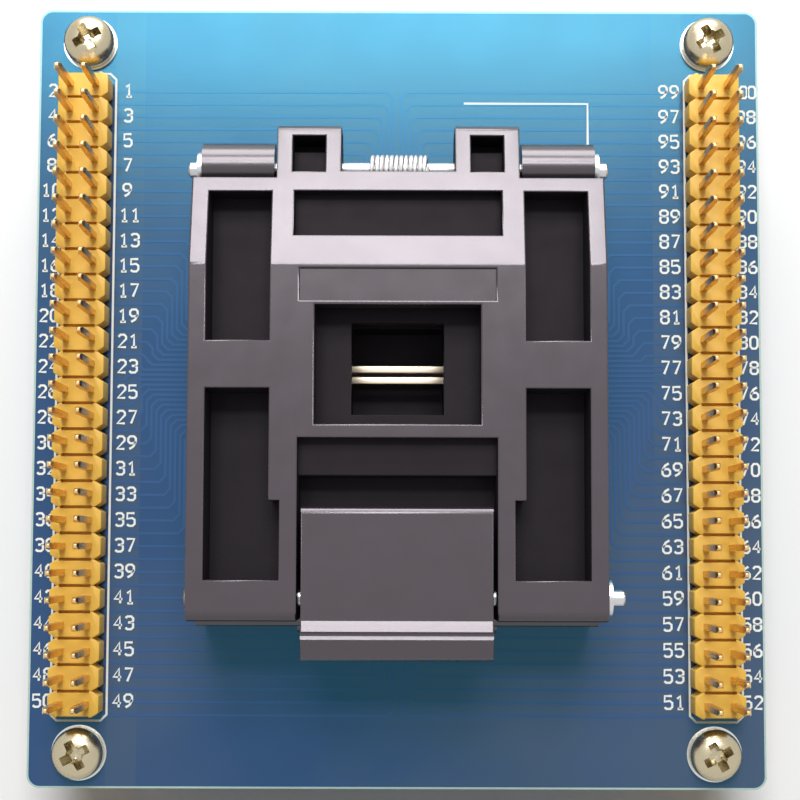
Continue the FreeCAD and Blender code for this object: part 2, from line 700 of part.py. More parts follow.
def lid():
    """The hinged lid: a ribbed plate with two hinge ears, a viewing window and the latch bay."""
    body = new_body("lid")
    lift(body, "0")
    profile = [
        ("-lid_front", "lid_bottom_height"),
        ("lid_rear", "lid_bottom_height"),
        ("lid_rear", "lid_bottom_height + lid_rear_thickness"),
        ("lid_knee", "lid_top_height"),
        ("-lid_front + lid_front_bevel", "lid_top_height"),
        ("-lid_front", "lid_top_height - lid_front_bevel"),
    ]
    pad(body, outline(body, "LidSide", "YZ_Plane", profile), "lid_width", True)
    relief = ring(body, "BarrelRelief", "YZ_Plane", "hinge_axis", "hinge_axis_height",
                  "barrel_diameter + 2 * barrel_clearance")
    pocket(body, relief, "lid_width + 2 * lid_gap", True)
    def on_slope(place):
        """The height of the lid's sloping rear face at a place along Y."""
        return "lid_top_height - lid_slope * (%s - lid_knee)" % place

    root, lip, end = "(lid_rear - ear_radius)", "(hinge_axis - lip_setback)", "(hinge_axis + ear_reach)"
    nib = [
        (root, on_slope(root)),
        (root, on_slope(lip) + " - lip_thickness"),
        (lip, on_slope(lip) + " - lip_thickness"),
        (lip, on_slope(lip)),
    ]
    pad(body, outline(body, "Lip", "YZ_Plane", nib), "ear_inner + ear_outer", True)
    ear = [
        (root, on_slope(root)),
        (root, "lid_bottom_height"),
        ("hinge_axis - ear_radius", "hinge_axis_height"),
        ("hinge_axis - ear_radius / 2", "hinge_axis_height - ear_radius * 0.8"),
        ("hinge_axis + ear_radius / 2", "hinge_axis_height - ear_radius * 0.8"),
        (end, "hinge_axis_height - ear_radius / 4"),
        (end, on_slope(end) + " - ear_edge"),
        (end + " - ear_edge", on_slope("(%s - ear_edge)" % end)),
    ]
    arm = pad(body, outline(body, "Ear", "YZ_Plane", ear, "ear_inner"), "ear_outer - ear_inner")
    doc.recompute()
    window = ("ear_inner + ear_side_wall", "ear_outer - ear_side_wall")
    shallow = rectangle(*window, "hinge_axis - ear_bar", end + " - ear_bar")
    deep = rectangle(*window, "hinge_axis + ear_floor_reach", end + " - ear_bar")
    over = pocket(body, outline(body, "EarPocket", "XY_Plane", shallow, "lid_top_height"),
                  "lid_top_height - hinge_axis_height - ear_floor")
    doc.recompute()
    under = pocket(body, outline(body, "EarWell", "XY_Plane", deep, "lid_top_height"),
                   "lid_top_height - hinge_axis_height + ear_under_floor")
    doc.recompute()
    mirrored(body, [arm, over, under], "YZ_Plane", "BothEars")
    doc.recompute()
    pocket(body, ring(body, "EarBore", "YZ_Plane", "hinge_axis", "hinge_axis_height",
                      "hinge_shaft_diameter + 2 * hinge_play"), "lid_width", True)
    depth = "lid_top_height - lid_floor_height"
    upper = rectangle("pocket_inner", "pocket_outer", "chip_offset + crossbar_width / 2",
                      "lid_rear - lid_rear_rim")
    lower_rear, lower_front = "chip_offset - crossbar_width / 2", "lid_front_bar - lid_front"
    lower = [
        ("pocket_inner", lower_rear),
        ("pocket_inner", "-rail_step_place"),
        ("lower_pocket_inner", "-rail_step_place"),
        ("lower_pocket_inner", lower_front),
        ("pocket_outer", lower_front),
        ("pocket_outer", lower_rear),
    ]
    cuts = [
        pocket(body, outline(body, "UpperPocket", "XY_Plane", upper, "lid_top_height"), depth),
        pocket(body, outline(body, "LowerPocket", "XY_Plane", lower, "lid_top_height"), depth),
    ]
    doc.recompute()
    mirrored(body, cuts, "YZ_Plane", "BothPockets")
    doc.recompute()
    rear_half, rear_end = "(pocket_inner - rear_pocket_wall)", "lid_rear - rear_pocket_rim"
    rear = rectangle("-" + rear_half, rear_half, rear_end + " - rear_pocket_length", rear_end)
    pocket(body, outline(body, "RearPocket", "XY_Plane", rear, "lid_top_height"), depth + " - lid_rim")
    panel = rectangle("-panel_half", "panel_half", "chip_offset + window_length / 2 + panel_edge",
                      "lid_knee - panel_edge")
    pocket(body, outline(body, "Panel", "XY_Plane", panel, "lid_top_height"), "panel_depth")
    window = rectangle("-window_width / 2", "window_width / 2", "chip_offset - window_length / 2",
                       "chip_offset + window_length / 2")
    pocket(body, outline(body, "Window", "XY_Plane", window, "lid_top_height"), "lid_thickness")
    half = "(pad_side / 2 + pad_gap)"
    cavity = rectangle("-" + half, half, "chip_offset - " + half, "chip_offset + " + half)
    pocket(body, outline(body, "PadCavity", "XY_Plane", cavity, "lid_roof_height"),
           "lid_thickness - lid_roof")
    shelf = rectangle("-bay_half", "bay_half", "-lid_front", "chip_offset - window_length / 2 - window_bar")
    pocket(body, outline(body, "LatchShelf", "XY_Plane", shelf, "lid_top_height"), "lid_roof - bay_shelf")
    deep = rectangle("-bay_half", "bay_half", "-lid_front", "chip_offset - %s - bay_wall" % half)
    pocket(body, outline(body, "LatchBay", "XY_Plane", deep, "lid_top_height"), depth)
    front = rectangle("-bay_half", "bay_half", "-lid_front", "latch_axis + latch_boss_radius + bay_gate_gap")
    pocket(body, outline(body, "LatchGate", "XY_Plane", front, "lid_top_height"), "lid_thickness")
    pocket(body, ring(body, "LatchShaftBore", "YZ_Plane", "latch_axis", "latch_axis_height",
                      "latch_shaft_diameter"), "lid_width", True)
    return body


def pressure_pad():
    """The floating plate that presses the chip's leads, with four ridges and two pin bores."""
    body = new_body("pressure_pad")
    bind(body, "Placement.Base.y", "chip_offset")
    lift(body, "pad_bottom_height")
    pad(body, outline(body, "PadOutline", "XY_Plane", centred("pad_side", "pad_side")), "pad_thickness")
    drop = "pad_bottom_height - contact_tip_height - ridge_gap"
    near, far = "contact_tip_reach - ridge_width / 2", "contact_tip_reach + ridge_width / 2"
    half = "(lead_row - chip_play) / 2"
    ridges = {
        "North": rectangle("-" + half, half, near, far),
        "South": rectangle("-" + half, half, "-(%s)" % far, "-(%s)" % near),
        "East": rectangle(near, far, "-" + half, half),
        "West": rectangle("-(%s)" % far, "-(%s)" % near, "-" + half, half),
    }
    for tag, points in ridges.items():
        pad(body, outline(body, "Ridge" + tag, "XY_Plane", points, "-(%s)" % drop), drop)
    pocket(body, outline(body, "PadOpening", "XY_Plane", centred("pad_opening", "pad_opening"),
                         "pad_thickness"), "pad_thickness")
    for index, (sx, sy) in enumerate(PAD_PINS):
        bore = ring(body, "PinBore%d" % index, "XY_Plane", "%d * pad_pin_place" % sx,
                    "%d * pad_pin_place" % sy, "pad_pin_diameter + 2 * pad_pin_play", "pad_thickness")
        pocket(body, bore, "pad_thickness")
    return body


def pad_pins():
    """Two headed pins staked in the lid's roof, which the pressure pad hangs on."""
    members = []
    for index, (sx, sy) in enumerate(PAD_PINS):
        x, y = "%d * pad_pin_place" % sx, "chip_offset + %d * pad_pin_place" % sy
        head = "ridge_width / 2"
        foot = "pad_bottom_height - lid_gap - " + head
        stem = small_round("PadPinStem%d" % index, "pad_pin_diameter", "lid_roof_height - (%s)" % foot,
                           "Z", x, y, foot)
        cap = small_round("PadPinHead%d" % index, "pad_pin_head", head, "Z", x, y, foot)
        members.append(group("PadPin%d" % index, "MultiFuse", [stem, cap]))
    return group("pad_pins", "Compound", members)


def coil(name, diameter, wire, length, turns):
    """A spring of square wire about Z, from z = 0 to its free length, with flat facets round it."""
    side = size(wire)
    radius = (size(diameter) - side) / 2
    steps = round(size(turns) * size("spring_facets"))
    corners = ((-1, -1), (1, -1), (1, 1), (-1, 1))
    rings = []
    for step in range(steps + 1):
        angle = 2 * math.pi * size(turns) * step / steps
        middle = side / 2 + (size(length) - side) * step / steps
        rings.append([
            FreeCAD.Vector((radius + x * side / 2) * math.cos(angle), (radius + x * side / 2) * math.sin(angle),
                           middle + y * side / 2)
            for x, y in corners
        ])
    faces = [Part.Face(Part.makePolygon(end + end[:1])) for end in (rings[0], rings[-1])]
    for before, after in zip(rings, rings[1:]):
        for index in range(len(corners)):
            a, b = before[index], before[index - 1]
            c, d = after[index - 1], after[index]
            faces.append(Part.Face(Part.makePolygon([a, b, c, a])))
            faces.append(Part.Face(Part.makePolygon([a, c, d, a])))
    solid = Part.makeSolid(Part.makeShell(faces))
    if solid.Volume < 0:
        solid.reverse()
    item = doc.addObject("Part::Feature", name)
    item.Shape = solid
    return item


def pad_springs():
    """Two small coil springs round the pad's pins."""
    members = []
    length = "pad_spring_length - 2 * spring_end_gap"
    for index, (sx, sy) in enumerate(PAD_PINS):
        item = coil("PadSpring%d" % index, "pad_spring_diameter", "pad_spring_wire", length,
                    "pad_spring_turns")
        bind(item, "Placement.Base.x", "%d * pad_pin_place" % sx)
        bind(item, "Placement.Base.y", "chip_offset + %d * pad_pin_place" % sy)
        lift(item, "pad_top_height + spring_end_gap")
        members.append(item)
    return group("pad_springs", "Compound", members)


def hinge_shaft():
    """The steel shaft of the hinge, with a groove for a clip near each end."""
    shaft = cylinder("HingeRod", "hinge_shaft_diameter", "hinge_shaft_length", "X", "-hinge_shaft_length / 2",
                     "hinge_axis", "hinge_axis_height")
    shaft.Label = "hinge_shaft"
    return shaft


def retaining_clip(name, x, y, z, shaft):
    """A flat E-clip on a shaft along X: a disc with a bore and a mouth at its lower side."""
    disc = small_round(name + "Disc", "clip_diameter", "clip_thickness", "X", x, y, z)
    bore = small_round(name + "Bore", shaft + " / cos(180 / small_round_sides)", "clip_thickness", "X", x, y, z)
    mouth = box(name + "Mouth", x, "%s - (%s) * 0.42" % (y, shaft), "%s - clip_diameter / 2" % z,
                "clip_thickness", "(%s) * 0.84" % shaft, "clip_diameter / 2")
    tool = group(name + "Tool", "MultiFuse", [bore, mouth])
    return group(name, "Cut", (disc, tool))


def hinge_clips():
    places = {"Left": "-barrel_outer - clip_gap - clip_thickness", "Right": "barrel_outer + clip_gap"}
    members = [
        retaining_clip("HingeClip" + tag, x, "hinge_axis", "hinge_axis_height", "hinge_shaft_diameter")
        for tag, x in places.items()
    ]
    return group("hinge_clips", "Compound", members)


def latch_clip():
    return retaining_clip("latch_clip", "lid_width / 2 + clip_gap", "latch_axis", "latch_axis_height",
                          "latch_shaft_diameter")


def lid_spring():
    """The torsion spring round the hinge shaft, with a leg on the base and a leg on the lid."""
    turned = coil("SpringCoil", "spring_coil_diameter + spring_wire", "spring_wire", "spring_length",
                  "spring_turns")
    turned.Placement.Rotation = FreeCAD.Rotation(FreeCAD.Vector(0, 1, 0), 90)
    bind(turned, "Placement.Base.x", "-spring_length / 2")
    bind(turned, "Placement.Base.y", "hinge_axis")
    lift(turned, "hinge_axis_height")
    reach = "hinge_axis - base_rear - spring_wire / 2"
    legs = [
        box("SpringLegBase", "-spring_length / 2", "base_rear + spring_wire / 2",
            "hinge_axis_height - (spring_coil_diameter + spring_wire) / 2", "spring_wire", reach,
            "spring_wire"),
        box("SpringLegLid", "spring_length / 2 - spring_wire",
            "hinge_axis - barrel_diameter / 2 + spring_wire",
            "hinge_axis_height + (spring_coil_diameter - spring_wire) / 2", "spring_wire",
            "barrel_diameter / 2 - spring_wire", "spring_wire"),
    ]
    return group("lid_spring", "MultiFuse", [turned] + legs)


def latch():
    """The sprung latch: a finger plate, a bored boss and a front wall with the hook's nose."""
    body = new_body("latch")
    lift(body, "0")
    top, under = "latch_top_height", "latch_top_height - latch_plate"
    nose = "-base_front - catch_reach - latch_hook_play"
    inner = "latch_front + latch_wall"
    hook, hook_top = "hook_top_height - latch_hook_depth", "hook_top_height"
    grip = "latch_drop - lid_front"
    profile = [
        ("latch_rear", under),
        ("latch_rear", top + " - latch_plate / 3"),
        ("latch_rear - latch_plate / 8", top + " - latch_plate / 8"),
        ("latch_rear - latch_plate / 3", top),
        (grip, top),
        (grip + " - grip_ridge_length", top + " + grip_ridge_rise"),
        (grip + " - grip_ridge_length", top),
        (grip + " - grip_ridge_length * 1.3", top),
        (grip + " - grip_ridge_length * 1.6", top + " + grip_ridge_rise / 2"),
        ("latch_front + grip_ridge_rise", top + " - grip_ridge_rise"),
        ("latch_front", top + " - grip_ridge_length"),
        ("latch_front", hook + " + latch_wall / 2"),
        ("latch_front + latch_wall / 2", hook),
        (nose, hook_top),
        (inner, hook_top),
        (inner, under),
    ]
    pad(body, outline(body, "LatchSide", "YZ_Plane", profile), "2 * latch_half", True)
    boss = [
        ("latch_axis - latch_boss_radius", under),
        ("latch_axis - latch_boss_radius", "latch_axis_height"),
        ("latch_axis + latch_boss_radius", "latch_axis_height"),
        ("latch_axis + latch_boss_radius", under),
    ]
    pad(body, outline(body, "BossWeb", "YZ_Plane", boss), "2 * latch_half", True)
    pad(body, ring(body, "Boss", "YZ_Plane", "latch_axis", "latch_axis_height", "2 * latch_boss_radius"),
        "2 * latch_half", True)
    pocket(body, ring(body, "LatchBore", "YZ_Plane", "latch_axis", "latch_axis_height",
                      "latch_shaft_diameter + 2 * hinge_play"), "2 * latch_half + base_edge", True)
    return body


def latch_shaft():
    """The steel shaft of the latch: a headed left end, and a right end that carries a clip."""
    rod = cylinder("LatchRod", "latch_shaft_diameter", "lid_width + latch_shaft_stub", "X", "-lid_width / 2",
                   "latch_axis", "latch_axis_height")
    head = small_round("LatchHead", "latch_head_diameter", "latch_head_length", "X",
                       "-lid_width / 2 - latch_head_length", "latch_axis", "latch_axis_height")
    return group("latch_shaft", "MultiFuse", [rod, head])


def latch_spring():
    """The coil spring that lifts the rear of the finger plate."""
    length = "lid_thickness - latch_drop - latch_plate - lid_floor - 2 * spring_end_gap"
    item = coil("LatchCoil", "latch_spring_diameter", "latch_spring_wire", length, "latch_spring_turns")
    item.Label = "latch_spring"
    bind(item, "Placement.Base.y", "latch_axis + latch_spring_lever")
    lift(item, "lid_floor_height + spring_end_gap")
    return item


def build():
    parts = [adapter_board(), standoffs(), corner_screws()]
    for side, tag in ((-1, "left"), (1, "right")):
        parts.append(header_body(side, "header_body_" + tag))
        parts.append(header_pins(side, "header_pins_" + tag))
    for tag, turn in (("north", 0), ("west", 90), ("south", 180), ("east", 270)):
        parts.append(contacts(turn, "contacts_" + tag))
    parts += [contact_retainer(), chip_nest(), well_bars(), contact_comb(), socket_base()]
    parts += [hinge_shaft(), hinge_clips(), lid_spring(), lid(), pressure_pad(), pad_pins(), pad_springs()]
    parts += [latch(), latch_shaft(), latch_clip(), latch_spring()]
    return parts


def write(parts):
    """Check every object and every sub-part's shape, and only then write the files."""
    doc.recompute()
    failed = [item.Label for item in doc.Objects if "Invalid" in item.State or "Error" in item.State]
    if failed:
        raise RuntimeError("objects that failed: %s" % ", ".join(failed))
    for item in parts:
        if item.Shape.isNull() or not item.Shape.isValid() or not item.Shape.Solids:
            raise RuntimeError("%s has no valid solid" % item.Label)
    for item in parts:
        item.Shape.exportStep(os.path.join("parts", item.Label + ".step"))
        print("%s: %d solids, %.2f cubic mm" % (item.Label, len(item.Shape.Solids), item.Shape.Volume))


write(build())
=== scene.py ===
import math

import bmesh
import bpy
from mathutils import Matrix, Vector


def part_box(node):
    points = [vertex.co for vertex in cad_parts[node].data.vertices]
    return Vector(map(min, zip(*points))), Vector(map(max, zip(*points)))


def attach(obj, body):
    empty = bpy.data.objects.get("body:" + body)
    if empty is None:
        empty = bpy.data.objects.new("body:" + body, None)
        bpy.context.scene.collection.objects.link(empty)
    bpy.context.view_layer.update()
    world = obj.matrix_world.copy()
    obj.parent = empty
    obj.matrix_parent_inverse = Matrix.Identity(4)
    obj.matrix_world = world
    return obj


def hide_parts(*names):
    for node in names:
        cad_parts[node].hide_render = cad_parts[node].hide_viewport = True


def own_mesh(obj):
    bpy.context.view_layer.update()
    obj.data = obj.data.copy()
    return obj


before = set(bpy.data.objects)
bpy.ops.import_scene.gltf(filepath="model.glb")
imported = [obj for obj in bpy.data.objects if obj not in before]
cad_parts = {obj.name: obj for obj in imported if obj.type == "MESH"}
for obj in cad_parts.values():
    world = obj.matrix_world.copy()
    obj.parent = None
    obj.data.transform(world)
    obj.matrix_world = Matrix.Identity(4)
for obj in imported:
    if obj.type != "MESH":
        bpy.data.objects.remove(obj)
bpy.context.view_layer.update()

bl_info = {
    "name": "IC programming socket",
    "version": (1, 0, 0),
    "blender": (4, 5, 0),
    "location": "3D View > Sidebar > Socket",
    "description": "Dresses the packed frame of a clamshell chip socket on its adapter board",
    "category": "Add Mesh",
}

MM = 0.001

# Places in millimetres, as in the part's source. Z is measured from the board's top face.
BOARD_TOP = 11.6
BOARD_THICKNESS = 1.6
BOARD_HALF = (36.2, 38.85)
BOARD_CORNER = 1.3
BORDER = 0.2
NUMBERS_X = 27.0
NUMBERS_WIDTH = 3.0
CORNER_MARK = [(6.57, 29.35), (19.03, 29.35), (19.03, 24.85)]
SCREW_SPACING = (62.2, 70.8)
SCREW_HOLE = 1.6
FOIL = 0.035
HEADER_X = 31.25
HEADER_PITCH = 2.54
HEADER_ROWS = 25
CHIP_Y = 1.3
LEAD_PITCH = 0.5
LEADS = 25
TAIL_REACH = 9.2
HINGE_Y = 20.65
HINGE_Z = 7.0
BARREL_OUTER = 18.5
LID_HALF = 19.1
LID_KNEE = 10.5
LID_SLOPE = 0.213
LID_ROOF = 10.7
POCKETS_FROM = 0.45
LATCH_AXIS = (-19.9, 10.1)
LATCH_LEVER = 4.7
LATCH_SEAT = 8.4
SHAFT_RADIUS = 0.75
HINGE_SHAFT_END = 19.95
LATCH_SHAFT_END = 20.85
CLIP_STANDS_OFF = 0.3
PAD_PIN = 7.21
PAD_TOP = 9.3

# Moulded edges: those that turn by more than the first angle in degrees are rounded. Folds that turn by an
# angle between the next two get a narrow strip in millimetres, and nothing that turns by less than the last
# shows as a line.
ROUNDED_FROM = 12
FOLDS_FROM, FOLDS_TO = 14, 45
FOLD_STRIP = 0.03
CRISP_FROM = 50

# The photographing camera, worked out from the pin grid: focal length over the frame's width,
# the lens's height above the board, its place along X and Y, its tilt and its roll.
FOCAL_OVER_WIDTH = 1465 / 800
CAMERA_RISE = 144.98
CAMERA_XY = (0.05, -15.49)
CAMERA_TILT = 0.0653
CAMERA_ROLL = 0.0029
CAMERA_SHIFT = (0.0025, 0.0672)


def linear(code):
    """An sRGB hex value as linear red, green and blue."""
    channels = [int(code[place:place + 2], 16) / 255 for place in (0, 2, 4)]
    return tuple(c / 12.92 if c <= 0.04045 else ((c + 0.055) / 1.055) ** 2.4 for c in channels)


def rgba(colour):
    return (*colour, 1.0)


def per_metre(millimetres):
    """A texture's scale on Object coordinates for a feature of that real size."""
    return 1000 / millimetres


def add_node(tree, kind, sockets=None, **settings):
    """Add a node with its own settings, and feed its sockets with numbers or other nodes' outputs."""
    node = tree.nodes.new(kind)
    for name, value in settings.items():
        setattr(node, name, value)
    for key, value in (sockets or {}).items():
        if isinstance(value, bpy.types.NodeSocket):
            tree.links.new(value, node.inputs[key])
        else:
            node.inputs[key].default_value = value
    return node


def maths(tree, operation, *values):
    node = add_node(tree, "ShaderNodeMath", dict(enumerate(values)), operation=operation)
    return node.outputs[0]


def vector_maths(tree, operation, *values):
    node = add_node(tree, "ShaderNodeVectorMath", dict(enumerate(values)), operation=operation)
    return node.outputs["Value" if operation == "LENGTH" else "Vector"]


def mapped(tree, value, **ends):
    """A value carried from one range to another, the ranges' ends given by name with _ for a space."""
    sockets = {key.replace("_", " "): end for key, end in ends.items()}
    return add_node(tree, "ShaderNodeMapRange", {"Value": value, **sockets}).outputs["Result"]


def mixed(tree, part, low, high):
    """A colour that goes from one to another as the part goes from 0 to 1."""
    return add_node(tree, "ShaderNodeMix", {0: part, 6: low, 7: high}, data_type="RGBA").outputs[2]


# Settings that a user would change


def length(label, text, millimetres):
    return bpy.props.FloatProperty(
        name=label, description=text, default=millimetres * MM, min=0, unit="LENGTH", precision=5)


def colour(label, text, code):
    return bpy.props.FloatVectorProperty(
        name=label, description=text, default=linear(code), size=3, min=0, max=1, subtype="COLOR")


def lamp_power(label, text, watts):
    return bpy.props.FloatProperty(name=label, description=text, default=watts, min=0)


def turn_count(label, text, number):
    return bpy.props.IntProperty(name=label, description=text, default=number, min=2)


class SocketBoardSettings(bpy.types.PropertyGroup):
    legend_line: length("Legend line", "Width of a printed line", 0.23)
    legend_thickness: length("Legend thickness", "How far the ink stands above the mask", 0.02)
    digit_height: length("Digit height", "Height of the pin numbers", 1.25)
    digit_gap: length("Digit pitch", "From one digit to the next", 1.12)
    trace_width: length("Trace width", "Width of a copper trace under the mask", 0.26)
    trace_height: length("Trace height", "How far a trace lifts the mask", 0.02)
    ring_width: length("Screw land", "Width of the tinned land round each screw hole", 1.1)
    mask: colour("Solder mask", "Blue mask over the laminate", "373F70")
    dull_mask: colour("Dulled mask", "The mask where flux and handling have greyed it", "4B4D68")
    mask_on_copper: colour("Mask on copper", "The mask where a trace lies under it", "3E4C80")
    laminate: colour("Laminate", "Bare glass laminate at the board's edge", "B9D2C6")
    ink: colour("Legend ink", "White printing", "F1F5F4")


class SocketHeaderSettings(bpy.types.PropertyGroup):
    cell_bevel: length("Cell edge", "Rounding of the moulded cells' edges", 0.09)
    pin_bevel: length("Pin edge", "Rounding of the drawn pins' edges", 0.05)
    tip_length: length("Pin point", "Length of the swaged point", 0.45)
    nylon: colour("Header nylon", "Yellow body of the pin headers", "F5C552")
    gold: colour("Gold plate", "Flash gold on the pins and contacts", "DDB983")
    gilt: colour("Gilt bars", "Pale gilding on the two bars in the well", "F0DFC8")


class SocketMouldingSettings(bpy.types.PropertyGroup):
    edge: length("Moulded edge", "Rounding of the socket's moulded edges", 0.16)
    small_edge: length("Small moulded edge", "Rounding of the small mouldings' edges", 0.07)
    latch_edge: length("Latch edge", "Rounding of the latch's edges", 0.13)
    resin: colour("Socket resin", "Black glass-filled resin as moulded", "1D1A1D")
    # Painted light as well as handling: this lighter colour goes on the upper faces, so they look lit
    # against the darker, shaded lower faces.
    worn: colour("Handled resin", "The same resin greyed by handling on its upper faces", "292129")


class SocketMetalSettings(bpy.types.PropertyGroup):
    coil_turns: turn_count("Lid spring turns", "Turns of the torsion spring", 12)
    latch_turns: turn_count("Latch spring turns", "Turns of the latch's spring", 5)
    pad_turns: turn_count("Pad spring turns", "Turns of the pad's springs", 4)
    coil_wire: length("Lid spring wire", "Wire of the torsion spring", 0.42)
    nickel: colour("Nickel plate", "Plated corner screws", "BDB296")
    brass: colour("Brass", "Turned standoffs", "C8A45E")
    steel: colour("Stainless steel", "Ground shafts and stamped clips", "C9C9CB")
    wire: colour("Spring wire", "Drawn spring steel", "DEDDDD")
    solder: colour("Solder", "Tinned lands and soldered joints", "D6D8D8")


class SocketStageSettings(bpy.types.PropertyGroup):
    key_power: lamp_power("Key light", "Power of the soft light behind the hinge", 3.8)
    high_power: lamp_power("High light", "Power of the light nearer overhead", 3.1)
    low_power: lamp_power("Low light", "Power of the broad light near the horizon", 9.4)
    fill_level: bpy.props.FloatProperty(
        name="Fill", description="Level of the light from all round", default=0.15, min=0)
    floor: colour("Floor", "Plain pale floor", "FCFCFC")


# Finishes


def new_finish(name, **sockets):
    """A material with a Principled shader, its sockets given by name with _ for a space."""
    material = bpy.data.materials.new(name)
    material.use_nodes = True
    tree = material.node_tree
    tree.nodes.clear()
    shader = add_node(tree, "ShaderNodeBsdfPrincipled",
                      {key.replace("_", " "): value for key, value in sockets.items()})
    add_node(tree, "ShaderNodeOutputMaterial", {"Surface": shader.outputs["BSDF"]})
    place = add_node(tree, "ShaderNodeTexCoord").outputs["Object"]
    return material, tree, shader, place


def wandering(tree, place, size_mm, stretch, detail):
    """A value that wanders between 0 and 1 over patches of a real size, narrower where it is stretched."""
    spread = add_node(tree, "ShaderNodeMapping", {"Vector": place, "Scale": stretch}).outputs["Vector"]
    noise = add_node(tree, "ShaderNodeTexNoise", {
        "Vector": spread, "Scale": per_metre(size_mm), "Detail": detail})
    return noise.outputs["Fac"]


def varied(tree, place, size_mm, low, high, stretch=(1, 1, 1)):
    """A colour that wanders between two tones."""
    return mixed(tree, wandering(tree, place, size_mm, stretch, 3.0), rgba(low), rgba(high))


def rough_from(tree, shader, place, size_mm, low, high, stretch=(1, 1, 1)):
    """Roughness that wanders between two values, as handling and moulding leave it."""
    span = mapped(tree, wandering(tree, place, size_mm, stretch, 4.0), To_Min=low, To_Max=high)
    tree.links.new(span, shader.inputs["Roughness"])


def grain(tree, shader, place, size_mm, depth_mm, strength, stretch=(1, 1, 1)):
    """Fine relief of a real size and depth."""
    height = wandering(tree, place, size_mm, stretch, 2.0)
    bump = add_node(tree, "ShaderNodeBump", {
        "Height": height, "Strength": strength, "Distance": depth_mm * MM})
    tree.links.new(bump.outputs["Normal"], shader.inputs["Normal"])


def tones(base, spread):
    """A darker and a lighter tone round a colour."""
    return tuple(c * (1 - spread) for c in base), tuple(min(c * (1 + spread), 1) for c in base)


def coloured(tree, shader, place, size_mm, base, spread, stretch=(1, 1, 1)):
    """A base colour that wanders round one tone over patches of a real size."""
    tint = varied(tree, place, size_mm, *tones(base, spread), stretch)
    tree.links.new(tint, shader.inputs["Base Color"])


MASK_GLOSS = dict(IOR=1.5, Specular_IOR_Level=1.0, Specular_Tint=(0.12, 0.7, 1.0, 1.0))


def solder_mask_finish(settings):
    """Cured epoxy mask: a glossy skin that mirrors a lamp in cyan, over a greyer blue with dull patches."""
    material, tree, shader, place = new_finish("cured_solder_mask", **MASK_GLOSS)
    # Flux and handling dull it in patches about 20 mm across.
    part = mapped(tree, wandering(tree, place, 34, (1, 1, 1), 3.0), From_Min=0.4, From_Max=0.62)
    dull = rgba(settings.dull_mask)
    dulled = mixed(tree, part, varied(tree, place, 9, *tones(settings.mask, 0.1)), dull)
    # There is no copper under the pin numbers, and the mask looks greyer there.
    across = vector_maths(tree, "ABSOLUTE", place)
    column = add_node(tree, "ShaderNodeSeparateXYZ", {"Vector": across}).outputs["X"]
    bare = maths(tree, "COMPARE", column, NUMBERS_X * MM, NUMBERS_WIDTH / 2 * MM)
    greyed = mixed(tree, maths(tree, "MULTIPLY", bare, 0.75), dulled, dull)
    # The mask stops short of the routed edge, so a pale laminate border follows the rounded outline.
    inner = [(half - BOARD_CORNER) * MM for half in BOARD_HALF]
    past = vector_maths(tree, "MAXIMUM", vector_maths(tree, "SUBTRACT", across, (*inner, 1.0)), (0, 0, 0))
    reach = vector_maths(tree, "LENGTH", past)
    border = maths(tree, "GREATER_THAN", reach, (BOARD_CORNER - BORDER) * MM)
    glass = varied(tree, place, 0.5, *tones(settings.laminate, 0.12))
    tree.links.new(mixed(tree, border, greyed, glass), shader.inputs["Base Color"])
    rough_from(tree, shader, place, 7, 0.17, 0.25)
    # The glass cloth's 0.5 mm weave prints faintly through the mask.
    grain(tree, shader, place, 0.6, 0.006, 0.4)
    return material


def mask_on_copper_finish(settings):
    """The same mask where a trace lifts it: a slightly lighter blue."""
    material, tree, shader, place = new_finish("solder_mask_on_copper", Roughness=0.22, **MASK_GLOSS)
    coloured(tree, shader, place, 9, settings.mask_on_copper, 0.12)
    return material


def legend_ink_finish(settings):
    """Screen-printed epoxy ink: matte white, a little thin and uneven where the screen's mesh was."""
    material, tree, shader, place = new_finish("screen_printed_ink", Roughness=0.62)
    coloured(tree, shader, place, 0.3, settings.ink, 0.06)
    return material


def solder_finish(settings):
    """Hot-air levelled tin: soft grey metal with a frozen, slightly lumpy skin."""
    material, tree, shader, place = new_finish("hot_air_levelled_tin", Metallic=1.0)
    coloured(tree, shader, place, 0.8, settings.solder, 0.1)
    rough_from(tree, shader, place, 0.7, 0.22, 0.42)
    grain(tree, shader, place, 0.9, 0.03, 0.6)
    return material


def header_nylon_finish(settings):
    """Injection-moulded nylon: satin yellow, a touch translucent, with faint flow marks along the strip."""
    material, tree, shader, place = new_finish(
        "moulded_yellow_nylon", Subsurface_Weight=0.08, Subsurface_Scale=0.6 * MM,
        Subsurface_Radius=(1.0, 0.6, 0.2))
    coloured(tree, shader, place, 5, settings.nylon, 0.09, stretch=(1, 0.4, 1))
    rough_from(tree, shader, place, 1.2, 0.4, 0.55)
    grain(tree, shader, place, 0.25, 0.006, 0.5)
    return material


def gold_finish(settings):
    """Flash gold over nickel: warm yellow metal with drawing lines along it."""
    material, tree, shader, place = new_finish("flash_gold_plate", Metallic=1.0)
    coloured(tree, shader, place, 1.5, settings.gold, 0.12)
    rough_from(tree, shader, place, 0.8, 0.22, 0.34, stretch=(1, 1, 0.2))
    grain(tree, shader, place, 0.2, 0.001, 0.3, stretch=(1, 1, 0.1))
    return material


